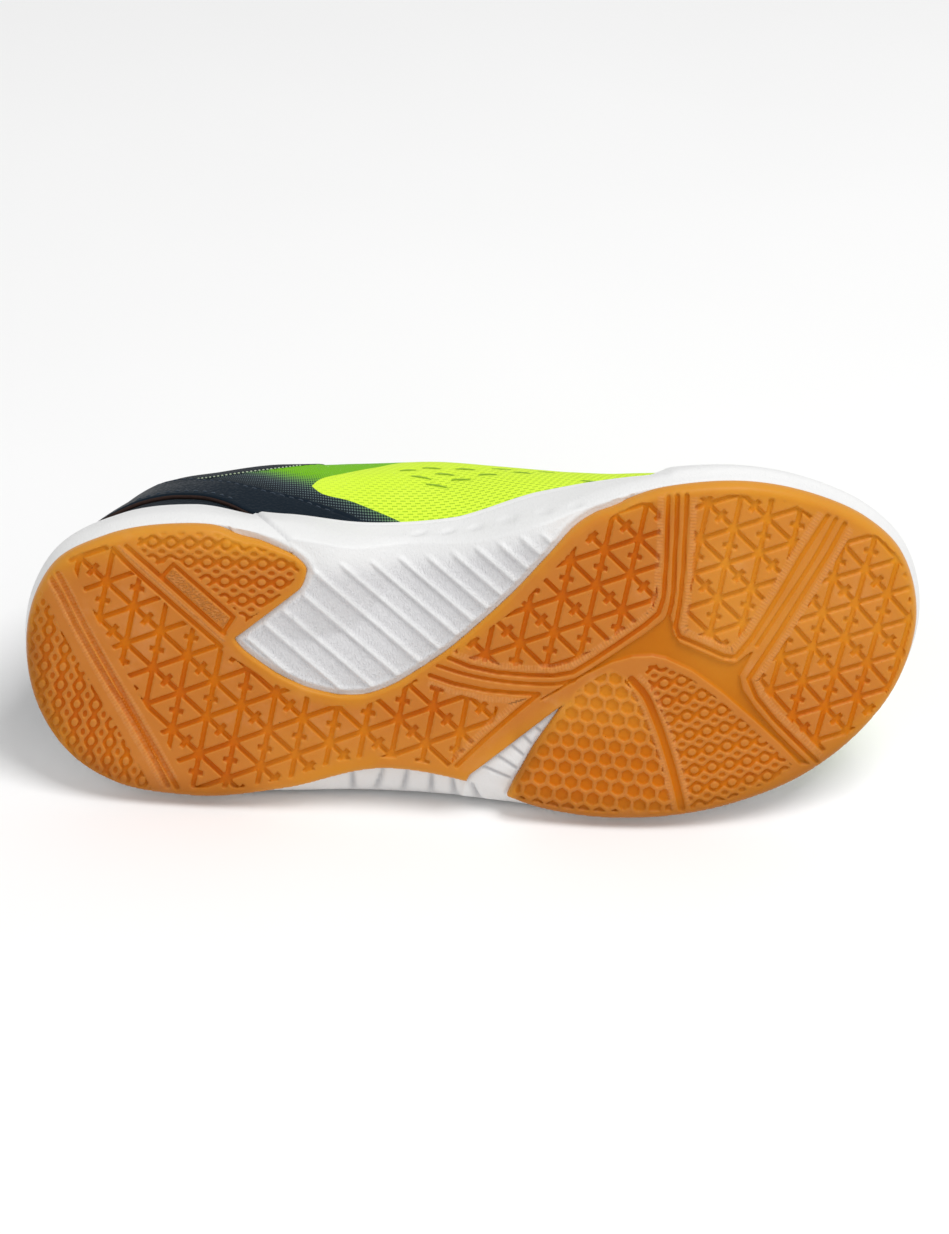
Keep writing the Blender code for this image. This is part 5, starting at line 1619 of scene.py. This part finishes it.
def stitch_run(path, normals, pitch, size, radius, sink=0.0):
    """Separate stitches lying along a path: points and faces."""
    path = np.asarray(path, float)
    d = np.concatenate(([0.0], np.cumsum(np.linalg.norm(np.diff(path, axis=0),
                                                        axis=1))))
    count = int(d[-1] / pitch)
    pts, faces = [], []
    base = 0
    lengths = np.linspace(-0.5, 0.5, 7)
    a = np.linspace(0, 2 * math.pi, 6, endpoint=False)
    for i in range(count):
        s = (i + 0.5) * pitch
        c = np.array([np.interp(s + l * size, d, path[:, j])
                      for j in range(3) for l in lengths]).reshape(3, -1).T
        n = np.array([np.interp(s, d, normals[:, j]) for j in range(3)])
        n /= np.linalg.norm(n)
        t = c[-1] - c[0]
        t /= np.linalg.norm(t)
        b = np.cross(t, n)
        r = radius * np.sqrt(np.clip(1.0 - (2.0 * lengths * 0.96) ** 2, 0, 1))
        dip = -sink * (2.0 * lengths) ** 4
        ring = c[:, None] + n[None, None] * dip[:, None, None] + r[:, None, None] \
            * (np.cos(a)[None, :, None] * b + np.sin(a)[None, :, None] * n)
        ids = np.arange(base, base + ring.shape[0] * 6).reshape(-1, 6)
        pts.append(ring.reshape(-1, 3))
        faces.append(grid_faces(ids, closed_v=True))
        base += ids.size
    return np.vstack(pts), np.vstack(faces)


def stitches(name, runs, mat):
    pts, faces, base = [], [], 0
    for path, normals, pitch, size, radius, sink in runs:
        p, f = stitch_run(path, normals, pitch, size, radius, sink)
        pts.append(p)
        faces.append(f + base)
        base += len(p)
    put(name, np.vstack(pts), [np.vstack(faces)], mat)


def along_upper(table, lift, side, n=160, shift=0.0):
    q = curve_through(np.array(table), n)
    tau = np.array([float(at_row(r, side)) for r in q[:, 0]])
    rim = rim_level(tau)
    share = q[:, 1] + shift
    v = rim + (1.0 - rim) * share
    nn = skin_normal(tau, v)
    return skin(tau, v) + nn * (lift + puff_at(tau, share))[:, None], nn


TOP_SEW = tuple((r, s - 0.045) for r, s in COUNTER_HIGH[2:-2])
FOOT_SEW = tuple((r, s + 0.055) for r, s in COUNTER_LOW[3:8])
SUNK_SEW = ((2.6, 0.09), (3.0, 0.12), (3.4, 0.14), (3.9, 0.10), (4.25, 0.04))
runs = []
for side in ("med", "lat"):
    for table, lift in ((TOP_SEW, 1.28), (FOOT_SEW, 1.36), (SUNK_SEW, 0.1)):
        p, nn = along_upper(table, lift, side)
        runs.append((p, nn, 2.5, 1.75, 0.24, 0.35))
stitches("heel_overlay_stitches", runs, THREAD)

# pale dotted piping along the foot of the collar strip
runs = []
for side in ("med", "lat"):
    p, nn = along_upper(COLLAR_LOW[2:6], 0.30, side)
    runs.append((p, nn, 1.05, 0.62, 0.20, 0.0))
stitches("collar_piping", runs, PALE)

# two rows of stitches along the eyestay, and eyelets
runs = []
for side in ("med", "lat"):
    for shift in (0.030, 0.16):
        p, nn = along_upper([(r, min(s + shift, 0.975)) for r, s in STAY[2:-1]],
                            0.42, side, 200)
        runs.append((p, nn, 2.4, 1.7, 0.22, 0.25))
stitches("eyestay_stitches", runs, LIME_THREAD)


def make_slits():
    """Narrow vents punched in the knit: in each dent, a dark lime sliver of painted shade."""
    dark = thread("vent_shadow", lin(122, 160, 8), lin(146, 186, 14))
    pts, faces, base = [], [], 0
    a = np.linspace(0, 2 * math.pi, 8, endpoint=False)
    t = np.linspace(-1.0, 1.0, 15)
    for side in ("med", "lat"):
        for (r0, s0), (r1, s1) in SLITS:
            rows = np.interp(t, (-1, 1), (r0, r1))
            share = np.interp(t, (-1, 1), (s0, s1)) + 0.006 * (1.0 - t * t)
            p, n = on_upper(rows, share, side)
            p = p + n * (slack_at(p[:, 0], share) - 0.17)[:, None]
            way = np.gradient(p, axis=0)
            way /= np.linalg.norm(way, axis=1)[:, None]
            b = np.cross(way, n)
            size = np.sqrt(np.clip(1.0 - (0.985 * t) ** 2, 0.0, 1.0)) ** 0.8
            ring = p[:, None] + size[:, None, None] * (
                0.36 * np.cos(a)[None, :, None] * b[:, None]
                + 0.12 * np.sin(a)[None, :, None] * n[:, None])
            ids = np.arange(base, base + ring.shape[0] * 8).reshape(-1, 8)
            pts.append(ring.reshape(-1, 3))
            faces += [grid_faces(ids, closed_v=True)]
            base += ids.size
    put("vamp_vents", np.vstack(pts), [np.vstack(faces)], dark)


make_slits()


def eyelet(row, side, v=None):
    tau = np.array([float(at_row(row, side))])
    v = np.array([1.0 - EYELET_INSET if v is None else v])
    return skin(tau, v)[0], skin_normal(tau, v)[0], float(wall(tau, v)[0])


def make_eyelets():
    pts, faces, base = [], [], 0
    for row in EYELET_ROWS:
        for side in ("med", "lat"):
            p, n, _ = eyelet(row, side)
            t = np.cross(n, (1.0, 0.0, 0.0))
            t /= np.linalg.norm(t)
            b = np.cross(n, t)
            a = np.linspace(0, 2 * math.pi, 28, endpoint=False)
            c = np.linspace(0, 2 * math.pi, 10, endpoint=False)
            rr = 2.55 + 0.55 * np.cos(c)
            zz = 0.42 + 0.40 * np.sin(c)
            ring = (p + (np.cos(a)[:, None] * t + np.sin(a)[:, None] * b)[:, None]
                    * rr[None, :, None] + n * zz[None, :, None])
            ids = np.arange(base, base + 280).reshape(28, 10)
            pts.append(ring.reshape(-1, 3))
            faces.append(grid_faces(ids, True, True))
            base += 280
    put("eyelet_rings", np.vstack(pts), [np.vstack(faces)],
        navy_synthetic("eyelet_synthetic", 0.8))


make_eyelets()


# -------------------------------------------------------------------- insole
def make_insole():
    tau = places(1.6)
    off = WALL + GAP + 0.3
    c = loop(tau)
    rise, flare = c[:, 9], np.radians(c[:, 10])
    count, half = len(tau), len(tau) // 2
    rings = []
    for lift, inset in ((0.0, 0.3), (1.2, 0.0), (INSOLE_THICK + 1.2, 0.1),
                        (INSOLE_THICK + 1.6, 0.7), (INSOLE_THICK + 1.3, 1.4),
                        (INSOLE_THICK + 0.5, 3.2), (INSOLE_THICK, 6.0)):
        v = np.maximum((lift - off * np.sin(flare))
                       / (3.0 * rise * np.cos(flare)), 0.0)
        p = skin(tau, v) - skin_normal(tau, v) * (off + inset)
        p[:, 2] = bed(p[:, 0]) + lift
        rings.append(p)
    ids = np.arange(len(rings) * count).reshape(len(rings), count)
    pts, faces, total = [np.vstack(rings)], [grid_faces(ids, closed_v=True)], ids.size
    for ring_ids, ring, lift in ((ids[0], rings[0], 0.0),
                                 (ids[-1], rings[-1], INSOLE_THICK)):
        shares = np.linspace(0, 1, 26)[1:-1]
        block = np.array([ring[i][None] + (ring[count - i] - ring[i])[None]
                          * shares[:, None] for i in range(1, half)])
        flat = block.reshape(-1, 3)
        dish = 0.0 if lift == 0.0 else 0.7 * np.exp(
            -((flat[:, 0] - 38.0) / 22.0) ** 2 - (flat[:, 1] / 20.0) ** 2)
        flat[:, 2] = bed(flat[:, 0]) + lift - dish
        mine = np.arange(total, total + len(flat)).reshape(block.shape[:2])
        total += len(flat)
        pts.append(flat)
        net = np.hstack((ring_ids[1:half][:, None], mine,
                         ring_ids[count - 1:half:-1][:, None]))
        faces.append(grid_faces(net))
        for tip, row in ((ring_ids[0], net[0]), (ring_ids[half], net[-1])):
            faces.append(np.stack((np.full(len(row) - 1, tip), row[:-1],
                                   row[1:]), 1))
    pts = np.vstack(pts)
    put("insole_sock", pts, faces, SOCK, uv=pts[:, :2],
        replaces=("insole",), sharp=60.0)


make_insole()


# -------------------------------------------------------------------- tongue
def throat_section(row, tuck, drop=0.0, count=9, mid=15):
    side = {}
    for name in ("med", "lat"):
        tau = np.full(count, float(at_row(row, name)))
        v = 1.0 - tuck * np.linspace(1.0, 0.0, count)
        off = wall(tau, v) + GAP + 0.4 + drop
        side[name] = skin(tau, v) - skin_normal(tau, v) * off[:, None]
    a, b = side["med"][-1], side["lat"][-1]
    slope = side["med"][-1] - side["med"][-2]
    tilt = slope[2] / np.linalg.norm(slope[:2])
    across = np.linalg.norm((b - a)[:2])
    s = np.linspace(0.0, 1.0, mid + 2)[1:-1][:, None]
    bridge = a + (b - a) * s
    bridge[:, 2] += (tilt * across * s * (1.0 - s) * 0.9)[:, 0]
    return np.vstack([side["med"], bridge, side["lat"][::-1]])


def make_tongue():
    table = np.array(((14.7, 0.12), (13.0, 0.12), (12.0, 0.12), (11.0, 0.16), (10.0, 0.18),
                      (9.0, 0.18), (8.3, 0.17), (7.7, 0.14)))
    rows = np.linspace(14.7, 7.7, 60)
    sections = [throat_section(r, np.interp(r, table[::-1, 0], table[::-1, 1]),
                               1.5) for r in rows]
    last, before = sections[-1], sections[-6]
    run = (last - before).mean(0)
    run /= np.linalg.norm(run)
    centre, crest = last.mean(0), last[:, 2].max()
    for share in np.linspace(0.0, 1.0, 22)[1:]:
        wide = np.interp(share, (0.0, 0.3, 0.65, 1.0), (1.0, 0.72, 0.74, 0.80))
        p = last.copy()
        p[:, 2] = crest + (p[:, 2] - crest) * (1.0 - 0.6 * share)
        p[:, 0] = centre[0] + (p[:, 0] - centre[0]) * (1.0 - 0.8 * share)
        p[:, 1] = centre[1] + (p[:, 1] - centre[1]) * wide
        p += run * TONGUE_RISE * share
        p[:, 2] += 2.5 * share ** 2
        sections.append(p)
    top = np.array(sections)
    du, dv = np.gradient(top, axis=0), np.gradient(top, axis=1)
    n = np.cross(du, dv)
    n /= np.linalg.norm(n, axis=2)[..., None]
    n[n[..., 2] > 0] *= -1.0
    m, w = top.shape[:2]
    i, j = np.meshgrid(np.linspace(0, 1, m), np.linspace(-1, 1, w),
                       indexing="ij")
    edge = np.minimum(1.0 - np.abs(j), np.minimum(i * 4.0, (1.0 - i) * 5.0))
    full = np.sqrt(np.clip(1.0 - (1.0 - np.clip(edge / 0.16, 0, 1)) ** 2, 0, 1))
    thick = 0.35 + (TONGUE_THICK - 1.2) * full
    # sewn lines down the sides and across the top keep the foam in
    sewn = np.exp(-((np.abs(j) - 0.80) / 0.03) ** 2) + np.exp(
        -((i - 0.955) / 0.008) ** 2)
    crown = 0.9 * full * smooth((i - 0.72) / 0.1) - 0.6 * np.clip(sewn, 0, 1)
    face = top - n * (crown - 0.35)[..., None]
    under = top + n * thick[..., None]
    ids = np.arange(2 * m * w).reshape(2, m, w)
    a, b = ids
    rim_a = np.concatenate((a[0], a[1:-1, -1], a[-1][::-1], a[-2:0:-1, 0]))
    rim_b = np.concatenate((b[0], b[1:-1, -1], b[-1][::-1], b[-2:0:-1, 0]))
    faces = [grid_faces(a), grid_faces(b[::-1]),
             grid_faces(np.stack((rim_a, rim_b)), closed_v=True)]
    down = np.cumsum(np.linalg.norm(np.diff(top, axis=0, prepend=top[:1]),
                                    axis=2).mean(1))
    side = np.cumsum(np.linalg.norm(np.diff(top, axis=1, prepend=top[:, :1]),
                                    axis=2).mean(0))
    uv = np.stack(np.meshgrid(down, side, indexing="ij"), -1).reshape(-1, 2)
    ob = put("tongue_pad", np.vstack((face.reshape(-1, 3), under.reshape(-1, 3))),
             faces, TONGUE, uv=np.vstack((uv, uv)),
             replaces=("tongue",), sharp=70.0)
    # bound edge round the part that stands out of the throat
    free = np.concatenate((face[64:-1, 0], face[-1], face[-2:63:-1, -1]))
    free_n = -np.concatenate((n[64:-1, 0], n[-1], n[-2:63:-1, -1]))
    free = curve_through(free, 150)
    free_n = curve_through(free_n + 1e-6 * np.arange(len(free_n))[:, None], 150)
    pts, f, e = tube(free - free_n * 0.6, free_n, 1.0, 1.25, 10)
    put("tongue_binding", pts, [f, e[0][None, ::-1], e[-1][None]], NAVY)


make_tongue()


# ---------------------------------------------------------------------- lace
def make_lace():
    """Two strands of one flat lace: a bar over the lowest eyelets, then each
    end dips through its eyelet, comes out under the edge and crosses over."""
    order = EYELET_ROWS[::-1]
    other = {"med": "lat", "lat": "med"}

    def strand(side, pile):
        p, up = [], []

        def at(row, s, v, lift):
            q, n, _ = eyelet(row, s, v)
            p.append(q + n * lift)
            up.append(n)

        first = order[0]
        q0, n0, _ = eyelet(first, side, 1.0)
        q1, n1, _ = eyelet(first, other[side], 1.0)
        p.append(0.5 * (q0 + q1) + np.array((0.0, 0.0, 2.0)))
        up.append(n0 + n1)
        at(first, side, 1.0, 1.35)
        at(first, side, 0.935, 1.15)
        at(first, side, 0.905, 0.55)
        side_now = side
        for k, row in enumerate(order):
            w = eyelet(row, side_now)[2]
            at(row, side_now, 0.900, -0.6)
            at(row, side_now, 0.905, -w - 0.75)
            if k == len(order) - 1:
                at(row, side_now, 0.88, -w - 0.85)
                break
            at(row, side_now, 0.95, -w - 0.85)
            at(row, side_now, 0.995, -w - 0.35)
            nxt, far = order[k + 1], other[side_now]
            qa, na, _ = eyelet(row, side_now, 1.0)
            qb, nb, _ = eyelet(nxt, far, 1.0)
            p.append(qa + 0.32 * (qb - qa) + np.array((0, 0, 0.1 + pile)))
            up.append(na + 0.5 * nb)
            p.append(qa + 0.62 * (qb - qa) + np.array((0, 0, 1.2 + pile)))
            up.append(0.5 * na + nb)
            at(nxt, far, 1.0, 1.3)
            at(nxt, far, 0.935, 1.15)
            at(nxt, far, 0.905, 0.55)
            side_now = far
        return np.array(p), np.array(up)

    pts, faces, uvs, base = [], [], [], 0
    for side, pile in (("med", 0.0), ("lat", 1.15)):
        p, up = strand(side, pile)
        up /= np.linalg.norm(up, axis=1)[:, None]
        path = curve_through(p, 900)
        d = np.concatenate(([0.0], np.cumsum(np.linalg.norm(
            np.diff(p, axis=0), axis=1))))
        s = np.linspace(0, d[-1], 900)
        nn = np.stack([np.interp(s, d, up[:, j]) for j in range(3)], 1)
        t = np.gradient(path, axis=0)
        t /= np.linalg.norm(t, axis=1)[:, None]
        wide = np.cross(t, nn)
        # through an eyelet the ribbon keeps the way it lies across the hole
        for i in range(1, len(wide)):
            if np.dot(wide[i], wide[i - 1]) < 0:
                wide[i] *= -1.0
        for _ in range(30):
            wide[1:-1] = (wide[:-2] + 2.0 * wide[1:-1] + wide[2:]) / 4.0
        wide -= np.sum(wide * t, 1)[:, None] * t
        wide /= np.linalg.norm(wide, axis=1)[:, None]
        nn = np.cross(wide, t)
        # squeezed narrower where it runs through an eyelet
        hole = np.full(len(path), 1e9)
        for row in EYELET_ROWS:
            for sd in ("med", "lat"):
                q, n, _ = eyelet(row, sd)
                hole = np.minimum(hole, np.linalg.norm(path - q, axis=1))
        half = 0.5 * LACE_WIDTH * (0.66 + 0.34 * smooth((hole - 1.5) / 4.5))
        thick = 0.5 * LACE_THICK * (1.25 - 0.25 * smooth((hole - 1.5) / 4.5))
        a = np.linspace(0, 2 * math.pi, 16, endpoint=False)
        cx = np.sign(np.cos(a)) * np.abs(np.cos(a)) ** 0.45
        cy = np.sign(np.sin(a)) * np.abs(np.sin(a)) ** 0.75
        ring = path[:, None] + wide[:, None] * (half[:, None] * cx)[..., None] \
            + nn[:, None] * (thick[:, None] * cy)[..., None]
        run = np.concatenate(([0.0], np.cumsum(np.linalg.norm(
            np.diff(path, axis=0), axis=1))))
        uv = np.stack((np.broadcast_to(run[:, None], ring.shape[:2]),
                       np.broadcast_to(cx * 2.5, ring.shape[:2])), -1)
        ids = np.arange(base, base + ring.shape[0] * 16).reshape(-1, 16)
        pts.append(ring.reshape(-1, 3))
        uvs.append(uv.reshape(-1, 2))
        faces.append((grid_faces(ids, closed_v=True), ids[0][None, ::-1],
                      ids[-1][None]))
        base += ids.size
    put("lace_flat", np.vstack(pts), [f for g in faces for f in g], LACE,
        uv=np.vstack(uvs), replaces=("lace",))


make_lace()


# ------------------------------------------------------- floor, light, camera
def make_stage():
    n = Nodes("floor_white")
    at = n.where()
    n.finish(n.mix(n.noise(at, 8.0, 2.0), lin(246, 246, 246),
                   lin(250, 250, 250)), 0.9, Specular_IOR_Level=0.1)
    mesh = bpy.data.meshes.new("floor")
    s = 6.0
    mesh.from_pydata([(-s, -s, -0.0002), (s, -s, -0.0002), (s, s, -0.0002),
                      (-s, s, -0.0002)], [], [(0, 1, 2, 3)])
    mesh.materials.append(n.mat)
    floor = bpy.data.objects.new("floor", mesh)
    bpy.context.scene.collection.objects.link(floor)
    scene = bpy.context.scene
    sky = bpy.data.worlds.new("studio")
    sky.use_nodes = True
    sky.node_tree.nodes["Background"].inputs[0].default_value = (1, 1, 1, 1)
    sky.node_tree.nodes["Background"].inputs[1].default_value = 0.535
    scene.world = sky
    scene.view_settings.view_transform = "Standard"
    for name, at, size, power in (
            ("key", (0.40, -0.25, 1.20), 0.6, 10.0),
            ("fill", (-0.75, -0.9, 0.75), 0.9, 2.0)):
        data = bpy.data.lights.new(name, "AREA")
        data.size = size
        data.energy = power
        lamp = bpy.data.objects.new(name, data)
        lamp.location = at
        way = Vector((0.0, 0.0, 0.04)) - lamp.location
        lamp.rotation_euler = way.to_track_quat("-Z", "Y").to_euler()
        scene.collection.objects.link(lamp)


make_stage()


def make_camera():
    data = bpy.data.cameras.new("camera")
    data.sensor_fit = "AUTO"
    data.sensor_width = 36.0
    data.lens = 36.0 * VIEW_FOCAL / 1234.0
    data.clip_start = 0.01
    cam = bpy.data.objects.new("camera", data)
    eye = world((VIEW_AT + VIEW_FAR * VIEW_BACK)[None])[0]
    axes = [LIE @ a for a in (np.array((1.0, 0.0, 0.0)), VIEW_UP, VIEW_BACK)]
    m = Matrix.Identity(4)
    for k, a in enumerate(axes):
        for r in range(3):
            m[r][k] = float(a[r])
    m.translation = Vector([float(c) for c in eye])
    cam.matrix_world = m
    bpy.context.scene.collection.objects.link(cam)
    bpy.context.scene.camera = cam


make_camera()
